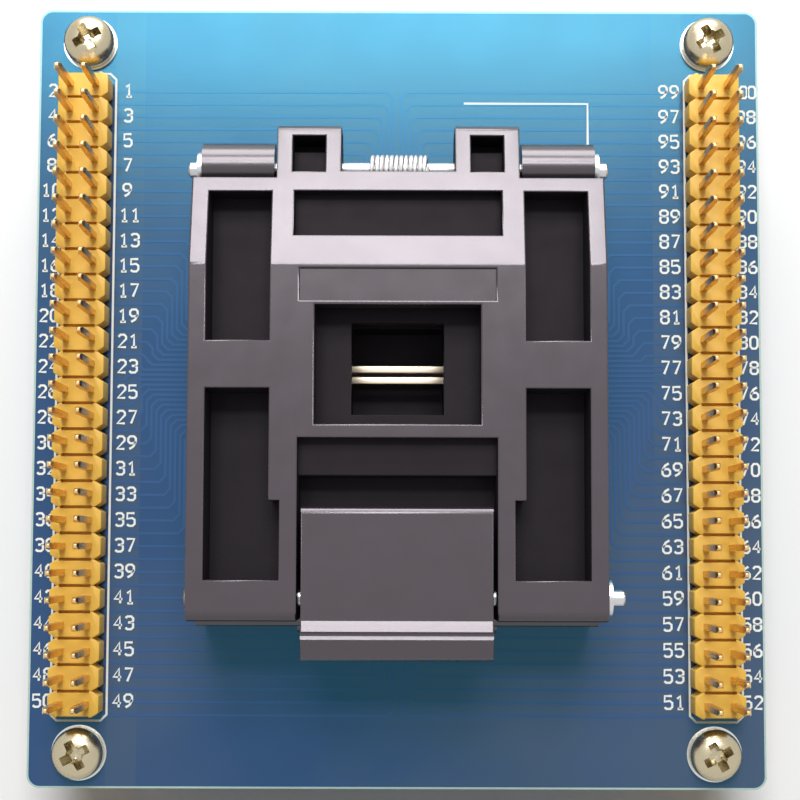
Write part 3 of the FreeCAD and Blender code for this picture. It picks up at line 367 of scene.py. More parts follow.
def resin_finish(settings):
    """Glass-filled resin from a polished mould: black, with a fine even grain. Its high index gives it a
    strong gleam, and its upper faces are greyed, partly by handling and partly as painted light that makes
    the tops look lit."""
    material, tree, shader, place = new_finish(
        "glass_filled_black_resin", IOR=1.66, Specular_IOR_Level=0.68, Specular_Tint=(1.0, 0.92, 0.98, 1.0))
    # Painted light: faces between 10.9 and 12.4 mm above the board fade into the lighter colour, so the tops
    # look lit and the lower faces and pockets look shaded.
    height = add_node(tree, "ShaderNodeSeparateXYZ", {"Vector": place}).outputs["Z"]
    handled_and_lit = mapped(tree, height, From_Min=(BOARD_TOP + 10.9) * MM, From_Max=(BOARD_TOP + 12.4) * MM)
    # Patches a few millimetres across in the lighter colour, partly rubbing and partly painted light on the
    # upper faces.
    rubbed_and_lit = varied(tree, place, 5, *tones(settings.worn, 0.16))
    both = mixed(tree, handled_and_lit, varied(tree, place, 6, *tones(settings.resin, 0.14)), rubbed_and_lit)
    # Short glass fibres at the skin show as pale flecks, drawn 0.2 mm wide so that they can be seen.
    fleck = wandering(tree, place, 0.2, (1, 1, 1), 1.0)
    part = mapped(tree, fleck, From_Min=0.68, From_Max=0.82, To_Min=0.0, To_Max=0.25)
    pale = rgba(tuple(c * 2.4 for c in settings.worn))
    tree.links.new(mixed(tree, part, both, pale), shader.inputs["Base Color"])
    rough_from(tree, shader, place, 2.5, 0.2, 0.28)
    grain(tree, shader, place, 0.16, 0.004, 0.5)
    return material


def matt_resin_finish(settings):
    """The same resin where the mould was spark-eroded, in pockets and wells: a dull skin, nearly black."""
    material, tree, shader, place = new_finish(
        "spark_eroded_black_resin", IOR=1.5, Specular_IOR_Level=0.18, Specular_Tint=(1.0, 0.88, 1.0, 1.0))
    coloured(tree, shader, place, 3, settings.resin, 0.2)
    rough_from(tree, shader, place, 2.0, 0.46, 0.6)
    grain(tree, shader, place, 0.14, 0.012, 0.8)
    return material


def metal_finish(name, base, roughness, lines_mm, relief=0.004, stretch=(1, 1, 1)):
    """A plain metal: its tone and roughness wander a little, with the lines that its making left."""
    material, tree, shader, place = new_finish(name, Metallic=1.0)
    coloured(tree, shader, place, 2, base, 0.08)
    rough_from(tree, shader, place, 0.6, *roughness)
    grain(tree, shader, place, lines_mm, relief, 0.6, stretch)
    return material


def make_finishes(scene):
    """Every finish, by the name that the pieces ask for."""
    board, header = scene.socket_board, scene.socket_header
    moulding, metal = scene.socket_moulding, scene.socket_metal
    return {
        "mask": solder_mask_finish(board),
        "copper": mask_on_copper_finish(board),
        "ink": legend_ink_finish(board),
        "solder": solder_finish(metal),
        # Drawn and gilded bar: pale, with lines along it that spread the lamp into an even streak.
        "gilt": metal_finish("drawn_gilt_bar", header.gilt, (0.3, 0.4), 0.2, 0.001, (0.1, 1, 1)),
        "nylon": header_nylon_finish(header),
        "gold": gold_finish(header),
        "resin": resin_finish(moulding),
        "matt": matt_resin_finish(moulding),
        # Nickel plate over a cold-headed screw: bright, with soft rounded facets.
        "nickel": metal_finish("bright_nickel_plate", metal.nickel, (0.2, 0.34), 0.8, 0.006),
        # Turned brass: lines run round the bar.
        "brass": metal_finish("turned_brass", metal.brass, (0.24, 0.36), 0.15, 0.005, (1, 1, 6)),
        # Centreless-ground stainless steel: fine lines round the shaft.
        "steel": metal_finish("ground_stainless_steel", metal.steel, (0.2, 0.32), 0.12, 0.004, (6, 1, 1)),
        # Drawn music wire: lines along the wire and a thin oil bloom.
        "wire": metal_finish("drawn_spring_wire", metal.wire, (0.34, 0.48), 0.2, 0.004),
    }


FINISHES = {}


def finish_of(name):
    if not FINISHES:
        FINISHES.update(make_finishes(bpy.context.scene))
    return FINISHES[name]


# Meshes


def mesh_from(name, bm):
    bmesh.ops.recalc_face_normals(bm, faces=bm.faces)
    mesh = bpy.data.meshes.new(name)
    bm.to_mesh(mesh)
    bm.free()
    return mesh


def piece(name, mesh, body, finish, replaces=(), flat_faces=False, matt_below=None):
    """A finished piece, riding on its body. Where matt_below says so of a face's middle in millimetres, that
    face has the matt finish."""
    mesh.name = name
    mesh.materials.clear()
    mesh.materials.append(finish_of(finish))
    if matt_below is not None:
        mesh.materials.append(finish_of("matt"))
        for face in mesh.polygons:
            face.material_index = int(matt_below(face.center / MM))
    if not flat_faces:
        mesh.shade_smooth()
        mesh.set_sharp_from_angle(angle=math.radians(32))
    thing = bpy.data.objects.new(name, mesh)
    bpy.context.scene.collection.objects.link(thing)
    if flat_faces:
        # Wide flat faces keep their own shading, and the rounded edges carry the turn.
        weighted = thing.modifiers.new("flat_faces", "WEIGHTED_NORMAL")
        weighted.weight, weighted.keep_sharp = 100, True
    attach(thing, body)
    if replaces:
        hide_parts(*replaces)
    return thing


def joined(meshes):
    """Several meshes as one."""
    bm = bmesh.new()
    for mesh in meshes:
        bm.from_mesh(mesh)
    whole = bpy.data.meshes.new("joined")
    bm.to_mesh(whole)
    bm.free()
    return whole


def moved(mesh, x=0.0, y=0.0, z=0.0, turn=None):
    """Place a mesh: turned first, then moved by millimetres, with Z from the board's top."""
    if turn is not None:
        mesh.transform(turn)
    mesh.transform(Matrix.Translation((x * MM, y * MM, (z + BOARD_TOP) * MM)))
    return mesh


def carved(mesh, cutters):
    """A mesh with other meshes cut out of it."""
    things = [bpy.data.objects.new("carved", item) for item in (mesh, *cutters)]
    for thing in things:
        bpy.context.scene.collection.objects.link(thing)
    for cutter in things[1:]:
        modifier = things[0].modifiers.new("cut", "BOOLEAN")
        modifier.operation, modifier.object, modifier.solver = "DIFFERENCE", cutter, "EXACT"
    result = bpy.data.meshes.new_from_object(things[0].evaluated_get(bpy.context.evaluated_depsgraph_get()))
    for thing in things:
        bpy.data.objects.remove(thing)
    return result


def quarter_turn(axis, quarters=1):
    """A turn by a number of right angles about an axis."""
    return Matrix.Rotation(math.pi / 2 * quarters, 4, axis)


def rectangle(left, right, low, high):
    """The outline of a rectangle between two pairs of levels."""
    return [(left, low), (right, low), (right, high), (left, high)]


def lofted(outlines):
    """A closed solid through outlines with as many points each, (x, y, z) in millimetres."""
    bm = bmesh.new()
    rings = [[bm.verts.new([value * MM for value in point]) for point in outline] for outline in outlines]
    for lower, upper in zip(rings, rings[1:]):
        for index in range(len(lower)):
            after = (index + 1) % len(lower)
            bm.faces.new((lower[index], lower[after], upper[after], upper[index]))
    bm.faces.new(rings[0])
    bm.faces.new(rings[-1][::-1])
    return mesh_from("lofted", bm)


def extruded(outline, low, high, along_x=False):
    """A closed flat outline in millimetres, drawn out between two levels along Z, or else along X."""
    if along_x:
        return lofted([[(level, a, b) for a, b in outline] for level in (low, high)])
    return lofted([[(a, b, level) for a, b in outline] for level in (low, high)])


def turned(profile, sides=32):
    """A solid of revolution about Z from (radius, height) pairs in millimetres, closed at radius 0 or as a
    ring."""
    bm = bmesh.new()
    rings = []
    for radius, height in profile:
        if radius == 0:
            rings.append([bm.verts.new((0, 0, height * MM))])
            continue
        rings.append([
            bm.verts.new((radius * MM * math.cos(2 * math.pi * step / sides),
                          radius * MM * math.sin(2 * math.pi * step / sides), height * MM))
            for step in range(sides)
        ])
    closed = profile[0][0] != 0
    pairs = list(zip(rings, rings[1:])) + ([(rings[-1], rings[0])] if closed else [])
    for lower, upper in pairs:
        for step in range(sides):
            after = (step + 1) % sides
            corners = [lower[step % len(lower)], lower[after % len(lower)], upper[after % len(upper)],
                       upper[step % len(upper)]]
            bm.faces.new(list(dict.fromkeys(corners)))
    return mesh_from("turned", bm)


def bevelled(mesh, width, segments=2, angle=30.0):
    """Round a mesh's sharp edges by a width in metres."""
    bm = bmesh.new()
    bm.from_mesh(mesh)
    bmesh.ops.remove_doubles(bm, verts=bm.verts, dist=1e-7)
    bmesh.ops.dissolve_limit(bm, angle_limit=math.radians(0.6), verts=bm.verts, edges=bm.edges)
    sharp = [e for e in bm.edges if len(e.link_faces) == 2 and e.calc_face_angle() > math.radians(angle)]
    bmesh.ops.bevel(bm, geom=sharp, offset=width, segments=segments, profile=0.5, affect="EDGES",
                    clamp_overlap=True)
    return mesh_from("bevelled", bm)


def softened(node, width, length_limit=0.9):
    """A copy of a CAD node with the moulded radius on its long edges, merged before it is rounded."""
    bm = bmesh.new()
    bm.from_mesh(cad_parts[node].data)
    bmesh.ops.remove_doubles(bm, verts=bm.verts, dist=2e-6)
    bmesh.ops.dissolve_limit(bm, angle_limit=math.radians(0.8), verts=bm.verts, edges=bm.edges)
    sharp = [
        e for e in bm.edges
        if len(e.link_faces) == 2 and e.is_convex and e.calc_face_angle() > math.radians(ROUNDED_FROM)
        and e.calc_length() > length_limit * MM
    ]
    # The roundings carry material index 1 until the folds between wide faces have been found.
    bmesh.ops.bevel(bm, geom=sharp, offset=width, segments=2, profile=0.5, affect="EDGES",
                    clamp_overlap=False, material=1)
    folds = [
        e for e in bm.edges
        if len(e.link_faces) == 2 and not e.is_convex
        and FOLDS_FROM < math.degrees(e.calc_face_angle()) < FOLDS_TO
        and not any(face.material_index for face in e.link_faces)
    ]
    # A fold gets a narrow strip of its own, so that its two wide faces don't share their shading.
    bmesh.ops.bevel(bm, geom=folds, offset=FOLD_STRIP * MM, segments=1, affect="EDGES")
    for face in bm.faces:
        face.smooth = True
        face.material_index = 0
    for edge in bm.edges:
        if len(edge.link_faces) == 2:
            edge.smooth = edge.calc_face_angle() < math.radians(CRISP_FROM)
    return mesh_from("softened", bm)


def in_lid_pocket(point):
    """Whether a place in millimetres lies well under the lid's top, which falls away behind its knee."""
    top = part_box("lid")[1].z / MM - LID_SLOPE * max(point.y - LID_KNEE, 0)
    return point.z < top - POCKETS_FROM


# Geometry Nodes


def new_tree(name, inputs):
    """A node tree for a modifier, with its named inputs."""
    tree = bpy.data.node_groups.new(name, "GeometryNodeTree")
    tree.interface.new_socket("Geometry", in_out="INPUT", socket_type="NodeSocketGeometry")
    for label, kind in inputs:
        tree.interface.new_socket(label, in_out="INPUT", socket_type=kind)
    tree.interface.new_socket("Geometry", in_out="OUTPUT", socket_type="NodeSocketGeometry")
    return tree, add_node(tree, "NodeGroupInput").outputs


def close_tree(tree, given, geometry):
    """End a tree in Realize Instances and Set Material."""
    real = add_node(tree, "GeometryNodeRealizeInstances", {"Geometry": geometry})
    coat = add_node(tree, "GeometryNodeSetMaterial", {
        "Geometry": real.outputs[0], "Material": given["Material"]})
    add_node(tree, "NodeGroupOutput", {0: coat.outputs[0]})
    return tree


def copies_tree():
    """Copies of the modifier's own mesh on a grid, centred on the origin."""
    tree, given = new_tree("rows_of_copies", [
        ("Copies Across", "NodeSocketInt"), ("Copies Along", "NodeSocketInt"),
        ("Pitch Across", "NodeSocketFloat"), ("Pitch Along", "NodeSocketFloat"),
        ("Material", "NodeSocketMaterial")])
    geometry = given["Geometry"]
    for axis, count, pitch in ((0, "Copies Across", "Pitch Across"), (1, "Copies Along", "Pitch Along")):
        span = maths(tree, "MULTIPLY", maths(tree, "SUBTRACT", given[count], 1.0), given[pitch])
        start = add_node(tree, "ShaderNodeCombineXYZ", {axis: maths(tree, "MULTIPLY", span, -0.5)})
        offset = add_node(tree, "ShaderNodeCombineXYZ", {axis: given[pitch]})
        line = add_node(tree, "GeometryNodeMeshLine", {
            "Count": given[count], "Start Location": start.outputs[0], "Offset": offset.outputs[0]},
            mode="OFFSET")
        placed = add_node(tree, "GeometryNodeInstanceOnPoints", {
            "Points": line.outputs[0], "Instance": geometry})
        geometry = add_node(tree, "GeometryNodeRealizeInstances", {"Geometry": placed.outputs[0]}).outputs[0]
    return close_tree(tree, given, geometry)


def strip_tree():
    """A flat strip with square edges along every line of the modifier's own mesh of edges."""
    tree, given = new_tree("flat_strips", [
        ("Width", "NodeSocketFloat"), ("Thickness", "NodeSocketFloat"), ("Material", "NodeSocketMaterial")])
    curve = add_node(tree, "GeometryNodeMeshToCurve", {"Mesh": given["Geometry"]})
    upright = add_node(tree, "GeometryNodeSetCurveNormal", {"Curve": curve.outputs[0]}, mode="Z_UP")
    profile = add_node(tree, "GeometryNodeCurvePrimitiveQuadrilateral", {
        "Width": given["Width"], "Height": given["Thickness"]})
    swept = add_node(tree, "GeometryNodeCurveToMesh", {
        "Curve": upright.outputs[0], "Profile Curve": profile.outputs[0], "Fill Caps": True})
    return close_tree(tree, given, swept.outputs[0])


def coil_tree():
    """A coil of round wire up the Z axis from the origin."""
    tree, given = new_tree("wire_coil", [
        ("Turns", "NodeSocketFloat"), ("Radius", "NodeSocketFloat"), ("Rise", "NodeSocketFloat"),
        ("Wire", "NodeSocketFloat"), ("Steps", "NodeSocketInt"), ("Material", "NodeSocketMaterial")])
    spiral = add_node(tree, "GeometryNodeCurveSpiral", {
        "Resolution": given["Steps"], "Rotations": given["Turns"], "Start Radius": given["Radius"],
        "End Radius": given["Radius"], "Height": given["Rise"]})
    section = add_node(tree, "GeometryNodeCurvePrimitiveCircle", {"Resolution": 8, "Radius": given["Wire"]})
    swept = add_node(tree, "GeometryNodeCurveToMesh", {
        "Curve": spiral.outputs[0], "Profile Curve": section.outputs[0], "Fill Caps": True})
    return close_tree(tree, given, swept.outputs[0])


TREES = {}


def grown(mesh, tree_name, **inputs):
    """The plain mesh that a node tree makes of a mesh, its inputs given by name with _ for a space."""
    if not TREES:
        TREES.update(copies=copies_tree(), strips=strip_tree(), coil=coil_tree())
    tree = TREES[tree_name]
    seed = bpy.data.objects.new("seed", mesh)
    bpy.context.scene.collection.objects.link(seed)
    modifier = seed.modifiers.new("grow", "NODES")
    modifier.node_group = tree
    names = {item.name: item.identifier for item in tree.interface.items_tree if item.in_out == "INPUT"}
    for key, value in inputs.items():
        modifier[names[key.replace("_", " ")]] = value
    graph = bpy.context.evaluated_depsgraph_get()
    result = bpy.data.meshes.new_from_object(seed.evaluated_get(graph))
    bpy.data.objects.remove(seed)
    return result


def rowed(mesh, across, along, pitch_across, pitch_along):
    """Copies of a mesh on a grid centred on the origin, its pitches in millimetres."""
    return grown(mesh, "copies", Copies_Across=across, Copies_Along=along,
                 Pitch_Across=pitch_across * MM, Pitch_Along=pitch_along * MM)


def in_header(mesh, columns):
    """A mesh in every row of a header strip, centred on the origin."""
    return rowed(mesh, columns, HEADER_ROWS, HEADER_PITCH, HEADER_PITCH)


def at_corners(mesh):
    """A mesh at each of the four corner holes."""
    return rowed(mesh, 2, 2, *SCREW_SPACING)


def wound(turns, radius, rise, wire, steps=16):
    """A coil of round wire up from the origin, in millimetres, with a number of steps to the turn."""
    return grown(bpy.data.meshes.new("seed"), "coil", Turns=turns, Radius=radius * MM, Rise=rise * MM,
                 Wire=wire / 2 * MM, Steps=steps * turns)


def lines_mesh(paths):
    """A mesh of edges from lists of points in millimetres; a path that ends where it starts is closed."""
    points, edges = [], []
    for path in paths:
        closed = path[0] == path[-1]
        start = len(points)
        kept = path[:-1] if closed else path
        points += [(x * MM, y * MM, 0.0) for x, y in kept]
        edges += [(start + index, start + index + 1) for index in range(len(kept) - 1)]
        if closed:
            edges.append((start + len(kept) - 1, start))
    mesh = bpy.data.meshes.new("lines")
    mesh.from_pydata(points, edges, [])
    return mesh


# The board's printing and copper

# Plotter-style digits on a cell 0.6 wide and 1 high, each a list of strokes.
DIGITS = {
    "0": [[(0, 0.2), (0, 0.8), (0.15, 1), (0.45, 1), (0.6, 0.8), (0.6, 0.2), (0.45, 0), (0.15, 0),
           (0, 0.2)]],
    "1": [[(0.1, 0.78), (0.34, 1), (0.34, 0)], [(0.12, 0), (0.56, 0)]],
    "2": [[(0, 0.82), (0.15, 1), (0.45, 1), (0.6, 0.85), (0.6, 0.65), (0, 0), (0.6, 0)]],
    "3": [[(0, 0.88), (0.15, 1), (0.45, 1), (0.6, 0.85), (0.6, 0.66), (0.45, 0.53), (0.2, 0.53)],
          [(0.45, 0.53), (0.6, 0.4), (0.6, 0.15), (0.45, 0), (0.15, 0), (0, 0.12)]],
    "4": [[(0.45, 0), (0.45, 1), (0, 0.33), (0.62, 0.33)]],
    "5": [[(0.58, 1), (0.02, 1), (0, 0.56), (0.4, 0.62), (0.6, 0.47), (0.6, 0.15), (0.45, 0), (0.15, 0),
           (0, 0.12)]],
    "6": [[(0.5, 1), (0.2, 0.82), (0, 0.45), (0, 0.15), (0.15, 0), (0.45, 0), (0.6, 0.15), (0.6, 0.4),
           (0.45, 0.55), (0.15, 0.55), (0, 0.42)]],
    "7": [[(0, 1), (0.6, 1), (0.2, 0)]],
    "8": [[(0.15, 0.53), (0.45, 0.53), (0.6, 0.68), (0.6, 0.86), (0.45, 1), (0.15, 1), (0, 0.86), (0, 0.68),
           (0.15, 0.53)],
          [(0.45, 0.53), (0.6, 0.38), (0.6, 0.15), (0.45, 0), (0.15, 0), (0, 0.15), (0, 0.38),
           (0.15, 0.53)]],
    "9": [[(0.1, 0), (0.4, 0.18), (0.6, 0.55), (0.6, 0.85), (0.45, 1), (0.15, 1), (0, 0.85), (0, 0.6),
           (0.15, 0.45), (0.45, 0.45), (0.6, 0.58)]],
}


def row_y(row):
    """A header row's place along Y; row 1 is at the hinge end."""
    return ((HEADER_ROWS + 1) / 2 - row) * HEADER_PITCH


def number_paths(number, x, y, height, pitch):
    """The strokes of a number centred on a point."""
    text = str(number)
    paths = []
    for index, digit in enumerate(text):
        left = x + (index - (len(text) - 1) / 2) * pitch - 0.3 * height
        for stroke in DIGITS[digit]:
            paths.append([(left + a * height, y + (b - 0.5) * height) for a, b in stroke])
    return paths


def legend_paths(settings):
    """Pin numbers 1 to 100, the headers' outlines and the corner mark by the hinge."""
    height, pitch = settings.digit_height / MM, settings.digit_gap / MM
    paths = []
    for row in range(1, HEADER_ROWS + 1):
        y = row_y(row) + 0.1
        # The outer numbers are a little smaller, and 100 is set narrower. On the left, inner numbers of one
        # digit stand further out.
        paths += number_paths(2 * row - 1, -26.9 if row > 5 else -27.2, y, height, pitch)
        paths += number_paths(2 * row, -34.8, y, height * 0.95, pitch * 0.95)
        paths += number_paths(101 - 2 * row, 27.2, y, height, pitch)
        x, narrower = (34.95, 0.95) if row > 1 else (34.75, 0.75)
        paths += number_paths(102 - 2 * row, x, y, height * 0.95, pitch * narrower)
    outer, end, cut = 33.95, 32.3, 0.6
    for side, inner in ((-1, 28.45), (1, 28.75)):
        corners = [(inner, end - cut), (inner + cut, end), (outer - cut, end), (outer, end - cut),
                   (outer, cut - end), (outer - cut, -end), (inner + cut, -end), (inner, cut - end),
                   (inner, end - cut)]
        paths.append([(side * x, y) for x, y in corners])
    return paths + [CORNER_MARK]


def trace_paths():
    """One copper trace from each header pin towards its contact, in nested bundles that never cross."""
    paths = []
    per_side = 2 * HEADER_ROWS
    half = HEADER_PITCH / 2
    # The length of a cut corner, the first of the lanes beside the socket and their pitch.
    cut, first_lane, lane_pitch = 0.6, 20.6, 0.48
    for side in (-1, 1):
        to_north = 12 if side < 0 else 13
        for place in range(per_side):
            row, outer = place // 2 + 1, place % 2
            y = row_y(row) - outer * half
            start = [(HEADER_X - half, y)]
            if outer:
                start = [(HEADER_X + half, y + half), (HEADER_X, y)] + start
            if place < to_north:
                x = LEAD_PITCH * (0.5 + place + 0.5 * (side < 0))
                run = [(x + cut, y), (x, y - cut), (x, CHIP_Y + TAIL_REACH)]
            elif place < to_north + LEADS:
                number = place - to_north
                contact = CHIP_Y + ((LEADS - 1) / 2 - number) * LEAD_PITCH
                nearer = number if contact < y else LEADS - 1 - number
                x = first_lane + lane_pitch * nearer
                bend = min(cut, abs(contact - y) / 2.2)
                way = 1 if contact > y else -1
                run = [(x + bend, y), (x, y + way * bend), (x, contact - way * bend), (x - bend, contact),
                       (TAIL_REACH, contact)]
                if bend < 0.1:
                    run = [(x + cut, y), (x - cut, contact), (TAIL_REACH, contact)]
            else:
                x = LEAD_PITCH * (0.5 + per_side - 1 - place + 0.5 * (side > 0))
                run = [(x + cut, y), (x, y + cut), (x, CHIP_Y - TAIL_REACH)]
            paths.append([(side * a, b) for a, b in start + run])
    return paths


class SOCKET_OT_board(bpy.types.Operator):
    """Lay the laminate with its mask, the tinned lands and the soldered joints"""
    bl_idname = "socket.board"
    bl_label = "Board"

    def execute(self, context):
        settings = context.scene.socket_board
        piece("board_laminate", softened("adapter_board", 0.08 * MM), "board", "mask",
              ["adapter_board"], flat_faces=True)
        rim = SCREW_HOLE + settings.ring_width / MM
        land = turned([(SCREW_HOLE, 0.0), (rim, 0.0), (rim, FOIL), (SCREW_HOLE, FOIL)], 48)
        lands = [moved(at_corners(land), z=level) for level in (0.0, -BOARD_THICKNESS - FOIL)]
        piece("screw_lands", joined(lands), "board", "solder")
        # Under the board, a fillet of solder round every header pin and a bead on every contact's tail.
        fillet = turned([(0, 0.0), (0.92, 0.0), (0.9, -0.05), (0.6, -0.28), (0.46, -0.75), (0.42, -1.05),
                         (0, -1.2)], 12)
        joints = [moved(in_header(fillet, 2), x=side * HEADER_X, z=-BOARD_THICKNESS) for side in (-1, 1)]
        bead = turned([(0, 0.0), (0.21, 0.0), (0.2, -0.1), (0.17, -0.6), (0, -0.75)], 8)
        for quarter in range(4):
            row = rowed(bead, LEADS, 1, LEAD_PITCH, LEAD_PITCH)
            row.transform(Matrix.Translation((0, TAIL_REACH * MM, 0)))
            joints.append(moved(row, y=CHIP_Y, z=-BOARD_THICKNESS, turn=quarter_turn("Z", quarter)))
        piece("soldered_joints", joined(joints), "board", "solder")
        return {"FINISHED"}


class SOCKET_OT_copper(bpy.types.Operator):
    """Run the copper traces under the mask"""
    bl_idname = "socket.copper"
    bl_label = "Traces"

    def execute(self, context):
        settings = context.scene.socket_board
        strips = grown(lines_mesh(trace_paths()), "strips", Width=settings.trace_width,
                       Thickness=settings.trace_height * 2)
        piece("board_traces", moved(strips), "board", "copper")
        return {"FINISHED"}


class SOCKET_OT_legend(bpy.types.Operator):
    """Print the pin numbers, the header outlines and the corner mark"""
    bl_idname = "socket.legend"
    bl_label = "Legend"

    def execute(self, context):
        settings = context.scene.socket_board
        strips = grown(lines_mesh(legend_paths(settings)), "strips", Width=settings.legend_line,
                       Thickness=settings.legend_thickness * 2 + settings.trace_height)
        strips = moved(strips, z=settings.trace_height / MM / 2)
        piece("board_legend", strips, "board", "ink")
        return {"FINISHED"}


# Header strips, pins and fixings


class SOCKET_OT_headers(bpy.types.Operator):
    """Mould the two header strips from their notched cells"""
    bl_idname = "socket.headers"
    bl_label = "Header strips"

    def execute(self, context):
        settings = context.scene.socket_header
        width, height, notch, half_notch = 4.95 / 2, 2.5, 0.68, 0.45
        half = HEADER_PITCH / 2
        outline = [(width, half - half_notch), (width - notch, half), (-width + notch, half),
                   (-width, half - half_notch), (-width, half_notch - half), (-width + notch, -half),
                   (width - notch, -half), (width, half_notch - half)]
        for side, tag in ((-1, "left"), (1, "right")):
            cell = bevelled(extruded(outline, 0.0, height), settings.cell_bevel)
            # A narrow slot parts each cell from the next, between the notches.
            slots = [extruded(rectangle(-1.55, 1.55, y - 0.15, y + 0.15), 1.7, height + 0.5)
                     for y in (-half, half)]
            strip = moved(in_header(carved(cell, slots), 1), x=side * HEADER_X)
            piece("header_strip_" + tag, strip, "board", "nylon", ["header_body_" + tag])
        return {"FINISHED"}


class SOCKET_OT_pins(bpy.types.Operator):
    """Set the square gold pins with their points"""
    bl_idname = "socket.pins"
    bl_label = "Header pins"

    def execute(self, context):
        settings = context.scene.socket_header
        half, foot, top = 0.32, -BOARD_THICKNESS - 1.5, 8.5
        point = settings.tip_length / MM
        levels = [(half * 0.6, foot), (half, foot + 0.3), (half, top - point), (half * 0.45, top)]
        pin = lofted([[(x, y, z) for x, y in rectangle(-r, r, -r, r)] for r, z in levels])
        pin = bevelled(pin, settings.pin_bevel, 1, 20)
        for side, tag in ((-1, "left"), (1, "right")):
            rows = moved(in_header(pin, 2), x=side * HEADER_X)
            piece("header_pin_rows_" + tag, rows, "board", "gold", ["header_pins_" + tag])
        return {"FINISHED"}


def screw_mesh():
    """A pan-head screw with a rounded crown and a tapered cross recess."""
    head = turned([(0, -5.0), (1.1, -5.0), (1.45, -4.6), (1.45, 0.0), (2.45, 0.0), (2.5, 0.1), (2.5, 0.85),
                   (2.44, 1.2), (2.22, 1.6), (1.8, 1.92), (1.2, 2.12), (0.6, 2.19), (0, 2.2)], 48)
    # Two tapered wings cut the cross, and a cone deepens its middle.
    cutters = []
    for quarter in range(2):
        wing = lofted([[(x, y, level) for x, y in rectangle(-span, span, -wide, wide)]
                       for span, wide, level in ((0.7, 0.26, 0.75), (1.62, 0.46, 2.3))])
        wing.transform(quarter_turn("Z", quarter))
        cutters.append(wing)
    cutters.append(turned([(0, 0.65), (0.5, 0.85), (0.92, 2.3), (0, 2.3)], 8))
    return carved(head, cutters)


class SOCKET_OT_fixings(bpy.types.Operator):
    """Drive the four corner screws into their hexagonal standoffs"""
    bl_idname = "socket.fixings"
    bl_label = "Screws and standoffs"

    def execute(self, context):
        screw = screw_mesh()
        screw.transform(Matrix.Rotation(math.radians(28), 4, "Z"))
        piece("corner_screw_set", moved(at_corners(screw)), "board", "nickel",
              ["corner_screws"])
        piece("standoff_set", softened("standoffs", 0.18 * MM, 2.0), "board", "brass",
              ["standoffs"])
        return {"FINISHED"}


# The socket


class SOCKET_OT_mouldings(bpy.types.Operator):
    """Give the socket's mouldings their rounded edges and grain"""
    bl_idname = "socket.mouldings"
    bl_label = "Socket mouldings"

    def execute(self, context):
        settings = context.scene.socket_moulding
        for name, node, body, width, finish, matt_below in (
            ("base_moulding", "socket_base", "board", settings.edge, "resin", None),
            ("lid_moulding", "lid", "lid", settings.edge, "resin", in_lid_pocket),
            ("latch_moulding", "latch", "latch", settings.latch_edge, "resin", None),
            ("pressure_plate", "pressure_pad", "pressure_pad", settings.small_edge, "matt", None),
            ("chip_pedestal", "chip_nest", "board", settings.small_edge, "matt", None),
            ("tail_plate", "contact_retainer", "board", settings.small_edge, "matt", None),
        ):
            piece(name, softened(node, width), body, finish, [node], flat_faces=True,
                  matt_below=matt_below)
        return {"FINISHED"}


class SOCKET_OT_comb(bpy.types.Operator):
    """Cut the comb whose teeth part the contacts"""
    bl_idname = "socket.comb"
    bl_label = "Contact comb"

    def execute(self, context):
        settings = context.scene.socket_moulding
        # A tooth stands between each contact and the next, and at both ends of a row.
        tooth = extruded(rectangle(-0.1, 0.1, 8.2, 9.0), 5.15, 6.3)
        teeth = []
        for quarter in range(4):
            row = rowed(tooth, LEADS + 1, 1, LEAD_PITCH, LEAD_PITCH)
            teeth.append(moved(row, y=CHIP_Y, turn=quarter_turn("Z", quarter)))
        piece("comb_frame", softened("contact_comb", settings.small_edge), "board", "matt",
              ["contact_comb"], flat_faces=True)
        piece("comb_teeth", joined(teeth), "board", "matt")
        return {"FINISHED"}


def strip_outline(centre, half):
    """The outline of a bent strip of even width, from its centre line."""
    sides = ([], [])
    for index, (a, b) in enumerate(centre):
        before, after = Vector(centre[max(index - 1, 0)]), Vector(centre[min(index + 1, len(centre) - 1)])
        across = (after - before).normalized()
        sides[0].append((a - across.y * half, b + across.x * half))
        sides[1].append((a + across.y * half, b - across.x * half))
    return sides[0] + sides[1][::-1]


class SOCKET_OT_contacts(bpy.types.Operator):
    """Stamp the hundred C-shaped contacts"""
    bl_idname = "socket.contacts"
    bl_label = "Contacts"

    def execute(self, context):
        # From the tail under the board up to the foot, round the C and along the arm to the tip.
        centre = [(TAIL_REACH, -2.9), (TAIL_REACH, 1.2), (9.45, 1.4), (10.0, 1.55), (10.26, 1.95),
                  (10.26, 4.3), (10.05, 4.66), (9.6, 4.72), (8.7, 4.8), (7.95, 5.0), (7.62, 5.3)]
        half_wide, half_thick = 0.14, 0.1
        contact = extruded(strip_outline(centre, half_wide), -half_thick, half_thick, along_x=True)
        for quarter, tag in enumerate(("north", "west", "south", "east")):
            row = rowed(contact, LEADS, 1, LEAD_PITCH, LEAD_PITCH)
            row = moved(row, y=CHIP_Y, turn=quarter_turn("Z", quarter))
            piece("contact_row_" + tag, row, "board", "gold", ["contacts_" + tag])
        return {"FINISHED"}


def wire_path(points, wire):
    """A round wire along points in millimetres, with Z from the board's top."""
    curve = bpy.data.curves.new("wire", "CURVE")
    curve.dimensions = "3D"
    curve.bevel_depth = wire * MM / 2
    curve.bevel_resolution = 2
    curve.use_fill_caps = True
    curve.resolution_u = 6
    spline = curve.splines.new("NURBS")
    spline.points.add(len(points) - 1)
    for point, (x, y, z) in zip(spline.points, points):
        point.co = (x * MM, y * MM, (z + BOARD_TOP) * MM, 1)
    spline.order_u = 3
    spline.use_endpoint_u = True
    thing = bpy.data.objects.new("wire", curve)
    bpy.context.scene.collection.objects.link(thing)
    mesh = bpy.data.meshes.new_from_object(thing)
    bpy.data.objects.remove(thing)
    return mesh


